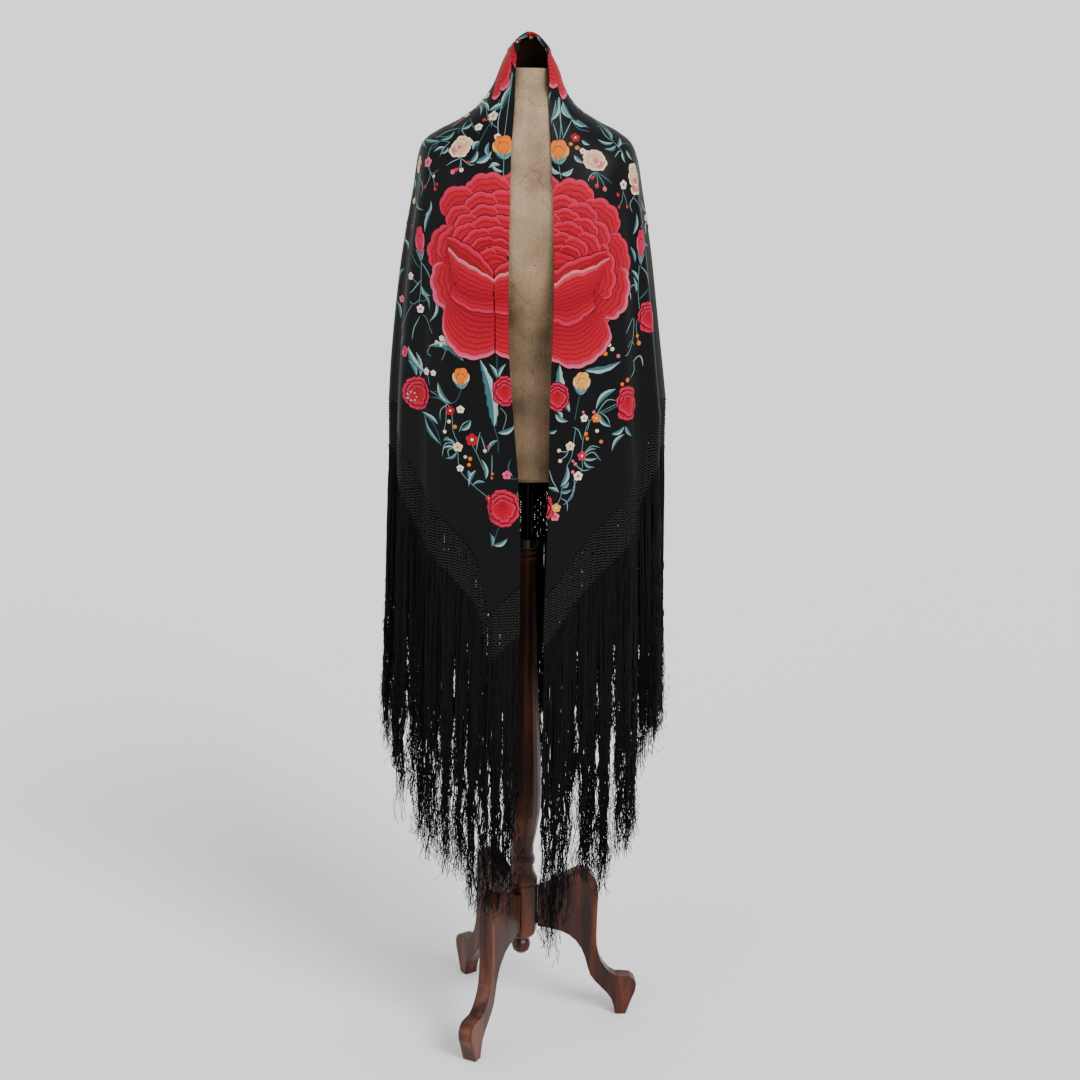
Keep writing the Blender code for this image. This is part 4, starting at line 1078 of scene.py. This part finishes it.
SPRAYS = {  # anchor, motifs
    "shoulder_left": ((61.5, 7.91), {
        "berry cream": ((15, -12, 2.8),),
        "berry peach": ((-49, -53, 5.5),),
        "berry red": ((-2, -30, 3.1), (23, -24, 2.8), (-47, -94, 3.1),),
        "berry rose": ((20, -32, 3.1), (-68, -88, 2.8),),
        "bloom peach cream": ((-35, 4, 15.7, 0.2, 0.7),),
        "floret blush red": ((-2, 9, 8.6),),
        "floret white red": ((-66, -74, 5.5),),
        "leaf teal mist": ((3, -74, 12, -50, 5.8, 0.2), (16, -62, 5, -101, 6.3, 0.1),),
        "leaf teal pale": ((-53, -35, -60, -14, 5.8, 0.2), (-30, -45, 0, -66, 4.7, 0.2),),
        "stem pale": ((2, 2, 7, -12, 0, -28), (6, -6, 16, -18, 19, -30), (-28, -10, -42, -32, -49, -50),),
        "tendril pale": ((-27, -13, -8, -29, -12, -45), (-67, -77, -70, -100, -57, -123),),
        "tendril teal": ((0, 0, 12, -8, 24, 0), (-6, -19, -20, -29, -33, -20),),
    }),
    "shoulder_right": ((295.9, 8.17), {
        "berry orange": ((28, -55, 2.8),),
        "berry red": ((-31, -47, 3.1), (76, -81, 2.8),),
        "berry rose": ((-11, -48, 3.1),),
        "bloom peach cream": ((11, -5, 26.7, 1.4, 0.5),),
        "floret white red": ((-18, -13, 7.8), (67, -68, 5.6),),
        "leaf teal mist": (
            (-7, 39, -8, 21, 5.8, 0.1), (4, 41, 11, 25, 6.3, 0.1), (-1, -93, 8, -59, 5.8, 0.12),
        ),
        "leaf teal pale": ((54, -39, 74, -58, 6.3, 0.1), (31, -90, 70, -114, 6.3, 0.1),),
        "stem pale": (
            (-19, -21, -23, -37, -31, -47), (-20, -24, -13, -37, -11, -48),
            (-7, 39, -11, 59, -4, 80, -13, 84), (6, -35, 18, -48, 29, -55), (15, -83, 24, -74, 34, -68),
        ),
        "tendril pale": ((-7, 39, -13, 40, -26, 31), (7, -32, -4, -44, 0, -57),),
    }),
    "collar_left": ((58, 1.53), {
        "tendril pale": ((19, -11, 21, -27, 19, -48),),
    }),
    "collar_right": ((292.7, 2), {
        "tendril pale": ((-29, -29, -36, -38, -39, -47),),
    }),
    "upper_left": ((39.6, 5.89), {
        "berry cream": ((-10, -34, 3.8),),
        "berry pink": ((-24, -37, 4.2),),
        "berry red": ((15, 55, 3.5), (9, 86, 3.1), (0, -21, 3.1), (-34, 80, 3.1),),
        "berry rose": ((-19, -34, 3.5),),
        "bloom peach cream": ((-15, 5, 22.5, 0.4, 0.95),),
        "bud orange amber teal": ((55, -12, 50, 28, 34.6),),
        "floret cream orange": ((30, 60, 8.6), (-22, 88, 5.2),),
        "floret white orange": ((8, 42, 6.9),),
        "floret white red": ((10, 106, 6.2), (42, 24, 5.9),),
        "leaf pale mist": ((50, -21, 33, -28, 6.4, 0.2), (56, -31, 36, -19, 5.2, -0.2),),
        "leaf teal mist": (
            (44, 79, 21, 71, 10.2, 0), (21, 71, -8, 100, 7.6, 0.1), (12, -21, 35, 0, 10.2, 0.12),
            (3, -22, 13, -1, 7.6, 0.1), (-41, 4, -61, -1, 6.4, 0.15), (-21, 41, -4, 52, 6.4, 0.1),
            (57, 108, 42, 69, 8.6, 0.1), (14, 16, 5, 0, 8.6, 0.2), (-47, -6, -37, 6, 5.2, 0.2),
        ),
        "leaf teal pale": (
            (-53, 21, -32, 38, 7.6, 0.2), (-54, 19, -89, 39, 6.4, -0.15), (-10, 99, 6, 64, 6.9, -0.2),
            (29, 15, 37, -14, 6.9, 0.2),
        ),
        "stem pale": (
            (57, 124, 54, 85, 53, 44, 52, 23), (55, -11, 56, -25, 57, -41), (30, 60, 22, 54, 15, 55),
            (39, 39, 21, 58, 11, 100), (-13, -14, -13, -28, -19, -36), (-13, -14, -10, -32),
            (-13, -14, -4, -21), (-36, 15, -52, 19, -67, 11, -71, -7),
        ),
        "stem teal": ((55, 109, 52, 88, 42, 68, 26, 46, 14, 15, 8, -17), (-11, 60, -21, 50, -26, 33),),
        "tendril pale": (
            (44, 79, 40, 56, 41, 36, 48, 16), (38, 87, 32, 67, 29, 41), (-17, 57, -20, 39, -11, 26),
            (-25, 44, -45, 40, -63, 28), (-36, 15, -44, 4, -49, -10), (-13, -14, -27, -21, -36, -27),
            (-11, -16, 3, -25, 11, -23), (-51, 72, -36, 79, -22, 88),
        ),
        "tendril teal": (
            (-12, 65, 0, 41, 12, 29), (-31, 34, -47, 27, -71, 35), (-54, 19, -62, 8, -69, 4),
            (-14, 70, -28, 84, -39, 77),
        ),
    }),
    "side_left": ((59, 10.6), {
        "berry cream": ((44, -111, 2.9), (52, -115, 2.9),),
        "berry red": ((-104, -117, 3.8),),
        "berry rose": ((-53, -96, 3.2),),
        "bloom rose pink": ((-19, -134, 9.6, 0.4, 0.8),),
        "bud rose pink teal": ((5, 13, -4, 72, 17.5),),
        "floret blush red": ((-58, -52, 6.4),),
        "floret white cream": ((53, -104, 4.8),),
        "floret white orange": ((-14, -11, 6.4),),
        "floret white red": ((8, -62, 7.2),),
        "leaf pale mist": ((40, -41, 29, -81, 4.8, -0.2),),
        "leaf teal mist": ((7, -24, 29, -39, 5.9, 0.2), (-49, 28, -66, 45, 5.9, 0.2),),
        "leaf teal pale": (
            (6, -35, 28, -62, 5.9, -0.2), (-32, 45, -26, 91, 4.8, -0.12), (-60, -84, -69, -55, 5.9, 0.1),
            (-56, -1, -66, -27, 4.8, 0.2),
        ),
        "stem pale": (
            (5, 13, 7, -24, 5, -53), (3, -24, -6, -17, -14, -11), (4, -48, -5, -56, -12, -52),
            (-8, -57, -30, -91, -47, -115), (13, -72, 19, -74, 36, -98),
        ),
        "tendril pale": (
            (5, 13, 16, 1, 30, -18), (6, -16, -7, -33, -15, -39), (7, -74, -3, -94, -6, -114),
            (-25, -108, -40, -128, -52, -146),
        ),
        "tendril teal": ((3, 3, -6, 12, -18, 27), (8, -48, 14, -49, 23, -41),),
    }),
    "lower_left": ((24.1, 12.47), {
        "berry cream": ((-26, -20, 3.3), (-33, -37, 3.3), (34, -65, 3.3), (1, -77, 2.9),),
        "berry orange": ((46, -109, 2.3), (-16, -28, 3.6), (9, -80, 3.6), (7, -90, 3.3),),
        "berry pink": ((47, -102, 2.6),),
        "berry red": ((39, -58, 2.6),),
        "berry white": ((-32, 112, 2.9), (-41, 103, 2.6),),
        "bud orange peach teal": ((-6, 34, -7, 70, 27.8),),
        "dots mist": ((-96, 14, 7.4),),
        "floret cream orange": ((-11, -61, 8.2),),
        "floret crimson white": ((12, -48, 10.6),),
        "floret pink red": ((70, -103, 7.4),),
        "floret scarlet cream": ((-24, -2, 7.9),),
        "floret white cream": ((-68, 58, 6.5), (-54, 57, 4.9),),
        "floret white orange": ((-7, 1, 6.5), (-7, -96, 5.7),),
        "leaf teal mist": (
            (-83, 48, -90, 87, 8.2, 0.1), (19, -98, 7, -126, 6.5, 0.1), (-73, 55, -102, 96, 11, -0.15),
            (-3, 80, -65, 99, 15.7, 0.22, 4), (49, -25, 23, 86, 20.6, 0.06, 6), (52, 55, 39, 77, 6.1, 0.1),
            (54, 55, 66, 78, 6.1, -0.1), (55, -34, 82, -21, 8.5, 0.15), (-46, 43, -21, 9, 8.5, 0.15),
            (-6, -33, 10, -16, 7.2, 0.15), (-14, -66, -37, -66, 4.9, 0.2), (36, -112, 28, -79, 7.2, 0.12),
            (-45, -26, -79, -10, 7.2, 0.1),
        ),
        "leaf teal pale": (
            (-89, 48, -102, 73, 6.5, 0.1), (7, -112, 5, -99, 6.5, 0.1), (55, -46, 39, -67, 6.1, 0.15),
            (-14, -63, -36, -51, 4.9, 0.25), (-12, -69, -32, -81, 4.9, -0.2),
            (35, -117, 12, -125, 4.9, 0.15), (-41, -58, -72, -13, 6.1, -0.1),
        ),
        "rose crimson rose": ((-86, 20, 29.4, 0.5, 0.9), (65, 34, 26.2, 0.1, 0.75),),
        "stem pale": (
            (-39, 79, -32, 96, -35, 109), (58, 7, 68, -6, 63, -29), (-61, 37, -66, 57),
            (-59, 27, -45, 20, -29, 9, -21, -10, -19, -35, -9, -58), (-31, 9, -31, -18, -34, -34),
            (-11, -68, -9, -93, -1, -109, 16, -125, 33, -137), (12, -57, 22, -74, 33, -97),
        ),
        "stem teal": (
            (-6, 34, -13, 16, -24, 9), (49, -25, 55, -46, 56, -66), (52, 98, 52, 60, 53, 19, 53, -23),
            (-65, -13, -47, -36, -39, -61), (87, -108, 78, -110, 70, -106),
        ),
        "tendril pale": (
            (-60, 100, -67, 89, -58, 84), (-27, 9, -40, -2, -41, -19), (-9, -36, -3, -23, 8, -16),
            (26, -34, 22, -50, 19, -68), (27, -41, 32, -54, 36, -70), (-16, -60, -29, -46, -34, -53),
            (-14, -63, -27, -67, -25, -80), (-17, -56, -32, -57, -37, -78), (46, -71, 46, -96, 45, -113),
            (86, -131, 88, -145, 88, -165),
        ),
        "tendril teal": (
            (-55, 26, -40, 26, -27, 9), (-59, 17, -42, 16, -27, 6), (76, -77, 72, -91, 80, -108),
        ),
    }),
    "tip_left": ((7.2, 13.47), {
        "floret red cream": ((-22, 19, 5.4),),
        "leaf teal mist": ((-12, -59, 9, -46, 7.4, 0.15),),
        "leaf teal pale": ((-14, -61, -21, -36, 6.2, 0.15),),
        "rose crimson rose": ((2, 4, 33.6, 0.15, 0.82),),
        "stem pale": ((-30, 25, -23, 19),),
        "stem teal": ((-4, -28, -9, -44, -12, -57),),
    }),
    "upper_right": ((317.9, 5.9), {
        "berry orange": ((-30, 11, 3.5), (-21, 4, 3.5),),
        "berry pink": ((19, -62, 3.8),),
        "berry red": ((-1, -46, 3.5), (43, -67, 3.1),),
        "berry rose": ((6, -58, 3.8),),
        "bloom peach cream": ((6, -17, 23.6, 2.3, 0.85),),
        "bud orange amber teal": ((-52, -22, -49, 20, 33.2),),
        "floret cream orange": ((11, 91, 5.2),),
        "floret scarlet cream": ((-21, 22, 7.9),),
        "floret white orange": ((-12, -2, 5.2),),
        "leaf pale mist": ((-50, -37, -30, -29, 7.7, 0.2), (-51, -36, -64, -22, 6.5, -0.2),),
        "leaf teal mist": (
            (-59, 50, -41, 93, 9.1, 0.12), (-33, 87, -21, 59, 9.1, 0.1), (-23, 57, 3, 45, 7.7, 0.1),
            (42, 16, 15, 21, 6.5, -0.2), (48, 9, 57, 31, 6.5, 0.1), (-11, 18, 1, 9, 6.5, 0.1),
            (-35, 82, -21, 57, 8.7, 0.2), (-27, -8, -12, -22, 7, 0.1),
        ),
        "leaf teal pale": (
            (41, 22, 29, 51, 6.5, 0.2), (46, 11, 24, 3, 6.5, -0.2), (-13, 57, 3, 47, 12.2, 0.25),
        ),
        "stem pale": (
            (-52, -24, -51, -33, -50, -44), (-39, 93, -41, 56, -47, 18), (3, -37, 2, -46),
            (4, -37, 8, -49, 6, -58), (6, -37, 16, -52, 19, -60),
        ),
        "stem teal": ((-36, 93, -26, 70, -9, 49, 8, 43),),
        "tendril pale": (
            (-46, 86, -52, 65, -58, 45), (-55, 47, -52, 32, -50, 17), (-22, 55, -35, 32, -44, 16),
            (-38, 92, -42, 56, -41, 21), (-20, 9, -13, -3, -12, -17), (4, -37, -4, -43, -8, -52),
            (27, 47, 32, 29, 41, 20), (21, 84, 39, 73, 56, 64),
        ),
        "tendril teal": (
            (-23, 57, -14, 40, 6, 35), (6, -37, 22, -46, 32, -53), (49, 7, 63, 21, 75, 20),
            (21, 84, 34, 76, 39, 73),
        ),
    }),
    "side_right": ((302.8, 10.97), {
        "berry cream": ((-45, -91, 3.5),),
        "berry orange": ((14, -87, 4.2), (11, -75, 3.2), (-56, -98, 3.8),),
        "berry pink": ((-35, -103, 3.5),),
        "berry white": ((-50, -84, 3.2),),
        "bud rose pink teal": ((18, 39, 21, 99, 14.4),),
        "leaf teal mist": (
            (13, 15, -1, 32, 5.9, 0.12), (9, -4, 3, 21, 4.8, 0.1), (-4, -16, -19, 2, 4.8, 0.2),
        ),
        "leaf teal pale": ((8, 44, -2, 70, 5.9, 0.12),),
        "stem mist": ((-22, -104, -16, -101, 0, -78, 4, -46),),
        "stem pale": ((16, 39, 13, -1, 16, -37), (16, -37, 9, -57, 13, -85), (3, -89, -6, -81, -16, -91),),
        "tendril pale": ((13, -1, 4, 8, -3, 4), (18, 38, 30, 24, 34, 8), (1, -45, -8, -53, -20, -68),),
        "tendril teal": ((13, -17, 21, -11, 32, 1),),
    }),
    "rose_right": ((293.2, 11.95), {
        "rose crimson rose": ((4, -2, 27.6, 0.3, 0.7),),
    }),
    "lower_right": ((335.9, 12.84), {
        "berry cream": ((21, -2, 3.3), (-41, -49, 3.3), (-43, -32, 3.3),),
        "berry orange": ((71, 79, 3.9), (61, 73, 3.3), (2, -6, 3.6), (4, -14, 3.3), (28, -20, 3.3),),
        "berry pink": ((15, 29, 3), (-4, 30, 2.6), (-20, -50, 2.6), (-16, -55, 3.3), (-20, -68, 3.3),),
        "bud amber peach teal": ((-10, 58, -5, 97, 29.6),),
        "floret amber white": ((-46, -127, 7.6),),
        "floret blush red": ((-48, -142, 7.6),),
        "floret cream orange": ((-25, -25, 7.6),),
        "floret orange cream": ((19, 19, 7.6),),
        "floret rose cream": ((-5, -42, 8.2),),
        "floret white orange": ((-2, 20, 6.6),),
        "floret white red": ((-11, -75, 7.9),),
        "leaf pale mist": ((-39, 20, -49, 33, 4.9, 0.2),),
        "leaf teal mist": (
            (-59, -3, -47, 2, 4.9, 0.1), (-27, 31, -44, 111, 18.2, -0.08, 5),
            (-2, 98, 58, 111, 12.2, 0.1, 3), (-50, 28, -29, 16, 8.5, 0.15), (45, -8, 66, 4, 7.2, 0.15),
            (66, -9, 46, -36, 6.1, 0.15), (50, 66, 18, 33, 9.7, 0.15), (23, 26, 44, 4, 7.2, 0.15),
            (-3, -46, 23, -47, 4.9, 0.1), (-40, -92, -30, -56, 8.5, 0.15), (-42, -101, -60, -94, 6.1, 0.1),
        ),
        "leaf teal pale": (
            (-37, -94, -26, -84, 6.6, 0.1), (68, 4, 81, -14, 6.1, 0.1), (-3, -42, 21, -32, 4.9, -0.2),
            (-2, -49, 19, -62, 4.9, 0.2), (-40, -101, -21, -97, 6.1, 0.1),
        ),
        "rose crimson rose": (
            (-47, 56, 24.7, 0.1, 0.8), (71, 41, 31.2, 0.3, 0.6), (-72, -128, 27.9, 0.15, 0.8),
        ),
        "stem pale": (
            (-4, 25, 7, 15, 4, 0), (56, 44, 38, 35, 20, 26),
            (20, 26, 5, 10, -3, -16, -5, -41, -4, -62, -11, -78, -19, -95, -20, -110, -34, -122),
            (-30, -58, -22, -41, -19, -15, -16, 4), (-37, -92, -40, -111, -46, -124),
        ),
        "stem teal": ((-11, 57, -15, 37, -18, 18),),
        "tendril mist": ((86, 106, 101, 115, 106, 98),),
        "tendril pale": (
            (54, 46, 36, 48, 20, 26), (25, 29, 37, 19, 42, 6), (-5, -16, -12, 1, -21, 6),
            (-1, -41, 11, -27, 26, -30), (-1, -44, 15, -37, 28, -52), (-18, -53, -4, -66, 10, -65),
            (-18, -78, -17, -98, -30, -119), (-58, -64, -53, -81, -44, -97),
            (-39, -111, -29, -118, -28, -133), (-42, -33, -32, -34, -25, -28),
            (-40, -47, -32, -41, -27, -31), (77, 81, 89, 93, 86, 110),
        ),
        "tendril teal": ((56, 41, 41, 32, 22, 24),),
    }),
    "nape": (None, {
        "berry orange": ((-33, 6, 2.6),),
        "berry red": ((34, 5, 2.6),),
        "floret cream orange": ((-20, 2, 5), (41, -3, 5),),
        "floret red white": ((-40, -4, 5),),
        "floret white red": ((21, 1, 5),),
        "leaf teal mist": (
            (-30, -4, -52, -14, 9, 0.12), (30, -4, 52, -12, 9, 0.12), (-12, -12, -20, -34, 8, 0.12),
            (13, -12, 22, -33, 8, 0.12),
        ),
        "rose crimson rose": ((0, -4, 13, 0),),
    }),
    "rim": (None, {
        "berry cream": ((32, -6, 2), (36, -10, 2),),
        "berry orange": ((29, -11, 1.8),),
        "berry white": ((9, 3, 2.2),),
        "floret cream orange": ((-3, -6, 4),),
        "floret crimson cream": ((-10, 2, 6), (23, 0, 6),),
        "floret crimson orange": ((2, 3, 7),),
        "floret red white": ((-30, -1, 4),),
        "leaf teal mist": (
            (-38, -7, -22, 1, 6, 0.12), (-26, -5, -12, 3, 6, 0.12), (4, -3, 20, 1, 6, 0.12),
            (16, -6, 30, -3, 6, 0.12),
        ),
    }),
}
# A round peony for the back: radius, fans, width, length, rows, scallops, silk.
ROUND_RINGS = (
    (104, 12, 64, 60, 7, 4, "crimson"), (86, 12, 54, 50, 6, 3, "crimson"),
    (69, 12, 44, 44, 5, 3, "scarlet"), (54, 9, 46, 38, 5, 3, "crimson"),
    (40, 9, 35, 32, 4, 3, "scarlet"), (27, 6, 34, 24, 4, 3, "crimson"),
    (14, 3, 30, 14, 3, 2, "scarlet"),
)
ROUND_PLACE = (180.0, 9.2)
ROUND_COVERS = 0.096  # what lies this near the middle of the round peony is under it
RIM_PLACE = (180.0, 0.35)
# More stitching at the sides and back, where the photograph doesn't show it: chart, anchor, mirrored.
ELSEWHERE = (
    ("nape", (150.0, 2.4), False), ("nape", (196.0, 1.8), False), ("nape", (222.0, 3.6), True),
    ("lower_left", (143.0, 11.0), True), ("lower_right", (217.0, 11.0), True),
    ("upper_left", (122.0, 6.5), True), ("upper_right", (239.0, 6.5), True),
    ("side_left", (124.0, 9.4), False), ("side_left", (236.0, 9.4), True),
    ("upper_left", (150.0, 5.4), False), ("upper_right", (210.0, 5.4), False),
    ("tip_left", (180.0, 12.6), False),
)
SOLVER_TURNS = 9
SOLVER_STEP = 1e-3
SOLVER_LEAST = 1e-5
SOLVER_REACH = (0.15, 0.8)  # the most that a turn and a row may change at once


def bloom_chart(focus, fans, bands):
    chart, order = Stitching(), 0
    for silks, rows in fans:
        tone, rim = silks.split()
        for x, y, width, length, ribs, scallops in rows:
            fan(chart, focus, (x, y), width, length, order, tone, rim, ribs, scallops)
            order += 1
    for silks, ribs, waves, inner, outer in bands:
        tone, rim = silks.split()
        band(chart, inner, outer, order, tone, rim, ribs, waves)
        order += 1
    return chart


def spray_chart(motifs):
    chart = Stitching()
    for key, rows in motifs.items():
        kind, *silks = key.split()
        for row in rows:
            DRAW[kind](chart, row, *silks)
    return chart


def round_bloom():
    """A whole peony from the front: rings of fans, the smaller ones over the larger."""
    chart = Stitching()
    for ring, (radius, count, width, length, ribs, scallops, tone) in enumerate(ROUND_RINGS):
        rim = "pink" if ring == 0 else "rose"
        for k in range(count):
            angle = (k + 0.5 * (ring % 2)) * 2 * math.pi / count
            tip = (radius * math.sin(angle), radius * math.cos(angle))
            fan(chart, (0.0, 0.0), tip, width, length, 3 * ring + k % 3, tone, rim, ribs, scallops)
    return chart


def place_points(shape, turn, row):
    """Points in mm round an anchor, with heights over the cloth, as places on the cloth."""
    start = drape_face(turn, row, folds=False)
    normal = drape_normal(turn, row, folds=False)
    across = np.cross((0.0, 0.0, 1.0), normal)
    across /= np.linalg.norm(across)
    up = np.cross(normal, across)
    goal = shape[:, :2] * MM
    turns = np.full(len(shape), turn)
    rows = np.full(len(shape), float(row))
    most_turn, most_row = SOLVER_REACH
    for _ in range(SOLVER_TURNS):
        here = drape_face(turns, rows, folds=False)
        gap = goal - np.stack([(here - start) @ across, (here - start) @ up], axis=1)
        by_turn_step = (drape_face(turns + SOLVER_STEP, rows, folds=False) - here) / SOLVER_STEP
        by_row_step = (drape_face(turns, rows + SOLVER_STEP, folds=False) - here) / SOLVER_STEP
        a, b = by_turn_step @ across, by_row_step @ across
        c, d = by_turn_step @ up, by_row_step @ up
        whole = a * d - b * c
        whole = np.where(np.abs(whole) < SOLVER_LEAST, SOLVER_LEAST, whole)
        turns = turns + np.clip((d * gap[:, 0] - b * gap[:, 1]) / whole, -most_turn, most_turn)
        rows = rows + np.clip((a * gap[:, 1] - c * gap[:, 0]) / whole, -most_row, most_row)
        rows = np.clip(rows, 0.0, HEM_ROW)
    return turns, rows


def laid(chart, anchor, mirror=False, inside=False, under=None):
    """Points, faces, tones and threads of a chart on the cloth, cut off at the front edges."""
    shape = np.concatenate(chart.points)
    faces = np.concatenate(chart.faces)
    if mirror:
        shape = shape * (-1.0, 1.0, 1.0)
        faces = faces[:, ::-1]
    turns, rows = place_points(shape, math.radians(anchor[0]), anchor[1])
    left, right = front_edges(rows)
    outside = (turns < left) | (turns > right) | (rows <= 0.0) | (rows >= HEM_ROW)
    turns = np.clip(turns, left, right)
    height = shape[:, 2] * MM + roll_height(rows)
    if inside:
        height = -CLOTH_THICK - height
        faces = faces[:, ::-1]
    points = cloth_face(turns, rows) + drape_normal(turns, rows) * height[:, None]
    faces = faces[~outside[faces].all(axis=1)]
    if under is not None:
        hidden = np.linalg.norm(points - under, axis=1) < ROUND_COVERS
        faces = faces[~hidden[faces].all(axis=1)]
    return points, faces, np.concatenate(chart.tones), np.concatenate(chart.threads)


def embroidery_piece(name, parts, mat):
    """One piece of stitching from several laid charts."""
    starts = np.cumsum([0] + [len(part[0]) for part in parts])
    faces = np.concatenate([part[1] + start for part, start in zip(parts, starts)])
    used, back = np.unique(faces, return_inverse=True)
    points, tones, threads = (np.concatenate([part[k] for part in parts])[used] for k in (0, 2, 3))
    piece = mesh_piece(name, points, back.reshape(faces.shape), [mat])
    mesh = piece.data
    # The silks' tones, with the painted shade of the stitch charts.
    layer = mesh.color_attributes.new("thread_tone_and_shade", "FLOAT_COLOR", "POINT")
    colours = np.concatenate([tones, np.ones((len(tones), 1))], axis=1)
    layer.data.foreach_set("color", colours.astype(np.float32).ravel())
    uv = mesh.uv_layers.new(name="stitches")
    loops = np.empty(len(mesh.loops), np.int32)
    mesh.loops.foreach_get("vertex_index", loops)
    uv.data.foreach_set("uv", threads[loops].astype(np.float32).ravel())
    return piece


def embroider(mat):
    charts = {name: (anchor, spray_chart(motifs)) for name, (anchor, motifs) in SPRAYS.items()}
    parts = {
        "bloom_left": [laid(bloom_chart(*BLOOM_LEFT[1:]), BLOOM_LEFT[0])],
        "bloom_right": [laid(bloom_chart(*BLOOM_RIGHT[1:]), BLOOM_RIGHT[0])],
    }
    for side in ("left", "right"):
        own = [charts[name] for name in charts if name.endswith(side)]
        parts[f"sprays_{side}"] = [laid(chart, anchor) for anchor, chart in own]
    parts["collar"] = [laid(bloom_chart((0, 0), (), bands), anchor) for anchor, bands in COLLARS]
    rim = charts["rim"][1]
    parts["collar"] += [laid(rim, RIM_PLACE, inside=True), laid(rim, RIM_PLACE)]
    middle = cloth_face(math.radians(ROUND_PLACE[0]), ROUND_PLACE[1])
    parts["back"] = [laid(round_bloom(), ROUND_PLACE)]
    parts["back"] += [laid(charts[name][1], at, mirror, under=middle) for name, at, mirror in ELSEWHERE]
    return [embroidery_piece(f"embroidery_{name}", laids, mat) for name, laids in parts.items()]


# ------------------------------------------------------------------ floor, light and camera
FLOOR_SIZE = 600.0
FLOOR_PALE = (0.88, 0.88, 0.88)
WORLD_LIGHT = 0.93
WORLD_SEEN = 1.43
LAMPS = (("key", (2.2, -2.6, 3.6), 3.0, 28.0), ("fill", (-2.6, -2.4, 2.0), 1.05, 50.0))
LAMPS_LOOK = (0, 0, 0.9)
FRAME_SIDE = 1080  # pixels, as are the focal length and the middle column of the photograph
FOCAL = 1825.0
MIDDLE_COLUMN = 526.1
SENSOR = 36
CAMERA_PLACE = (0, -3.03, 1.68)
CAMERA_DOWN = 14.5
CAMERA_ROLL = 0.888


def aim(obj, place, look):
    way = Vector(look) - Vector(place)
    obj.matrix_world = Matrix.Translation(place) @ way.to_track_quat("-Z", "Y").to_matrix().to_4x4()


def stage_and_camera():
    floor_mat = Material("floor_pale", FLOOR_PALE, 0.95, 0.0).mat
    bpy.ops.mesh.primitive_plane_add(size=FLOOR_SIZE)
    floor = bpy.context.object
    floor.name = "floor"
    floor.data.materials.append(floor_mat)
    world = bpy.data.worlds.new("studio")
    bpy.context.scene.world = world
    world.use_nodes = True
    nodes, links = world.node_tree.nodes, world.node_tree.links
    light, seen = nodes["Background"], nodes.new("ShaderNodeBackground")
    for background, strength in ((light, WORLD_LIGHT), (seen, WORLD_SEEN)):
        background.inputs["Color"].default_value = (1.0, 1.0, 1.0, 1.0)
        background.inputs["Strength"].default_value = strength
    ray = nodes.new("ShaderNodeLightPath")
    both = nodes.new("ShaderNodeMixShader")
    links.new(ray.outputs["Is Camera Ray"], both.inputs["Fac"])
    links.new(light.outputs["Background"], both.inputs[1])
    links.new(seen.outputs["Background"], both.inputs[2])
    links.new(both.outputs["Shader"], nodes["World Output"].inputs["Surface"])
    for name, place, power, spread in LAMPS:
        sun = bpy.data.lights.new(name, "SUN")
        sun.energy = power
        sun.angle = math.radians(spread)
        lamp = bpy.data.objects.new(name, sun)
        bpy.context.scene.collection.objects.link(lamp)
        aim(lamp, place, LAMPS_LOOK)
    camera = bpy.data.cameras.new("camera")
    camera.lens = FOCAL / FRAME_SIDE * SENSOR
    camera.sensor_width = SENSOR
    lens = bpy.data.objects.new("camera", camera)
    bpy.context.scene.collection.objects.link(lens)
    yaw = math.atan((FRAME_SIDE / 2 - MIDDLE_COLUMN) / FOCAL)
    lens.matrix_world = (
        Matrix.Translation(CAMERA_PLACE)
        @ Matrix.Rotation(-yaw, 4, "Z")
        @ Matrix.Rotation(math.pi / 2 - math.radians(CAMERA_DOWN), 4, "X")
        @ Matrix.Rotation(math.radians(CAMERA_ROLL), 4, "Z")
    )
    bpy.context.scene.camera = lens


# ------------------------------------------------------------------ assembly
SEED = 11
THREAD_BUMP = (0.4, 0.0008)
LENGTHWAYS = (1.0, 1.0, 0.06)
chance = np.random.default_rng(SEED)
silk = crinkled("silk_crepe", (0.0014, 0.0015, 0.0021), 0.46, 0.10, 900.0, (0.25, 0.0006))
# Dark maroon for the collar's inside: the red of its embroidery darkened as painted shade.
shaded_inside = crinkled("collar_inside_painted_shade", (0.014, 0.0025, 0.0035), 0.6, 0.2, 500.0, (0.3, 0.0006))
cloth = shawl_cloth([silk, shaded_inside])
# The knots are the fringe's black silk, painted lighter as highlight.
knot_silk_painted_highlight = crinkled("knotted_net", (0.0125, 0.0123, 0.0130), 0.42, 0.11, 300.0, THREAD_BUMP)
fringe_silk = crinkled(
    "fringe_silk", (0.0016, 0.0015, 0.0015), 0.55, 0.11, 300.0, THREAD_BUMP, LENGTHWAYS
)
hangings = []
for name, start, end in STRETCHES:
    hem = hem_line(start, end)
    hangings.append(net_piece(f"net_{name}_knots", hem, [knot_silk_painted_highlight, fringe_silk], chance))
    hangings.append(fringe_piece(f"fringe_{name}_strands", hem, fringe_silk, chance))
hangings += embroider(stitch_material())

wood = wood_material()
looks = {
    "dress_form": board_material(),
    "form_tube": Material("black_enamel", (0.0028, 0.0028, 0.0032), 0.2, 0.3).mat,
    "ferrule": Material("ferrule_iron", (0.075, 0.075, 0.075), 0.4, metallic=1.0).mat,
}
for node in ("column", "hub", "finial", "leg_right", "leg_back", "leg_front"):
    looks[node] = wood
for node, mat in looks.items():
    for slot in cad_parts[node].material_slots:
        slot.material = mat

stage_and_camera()
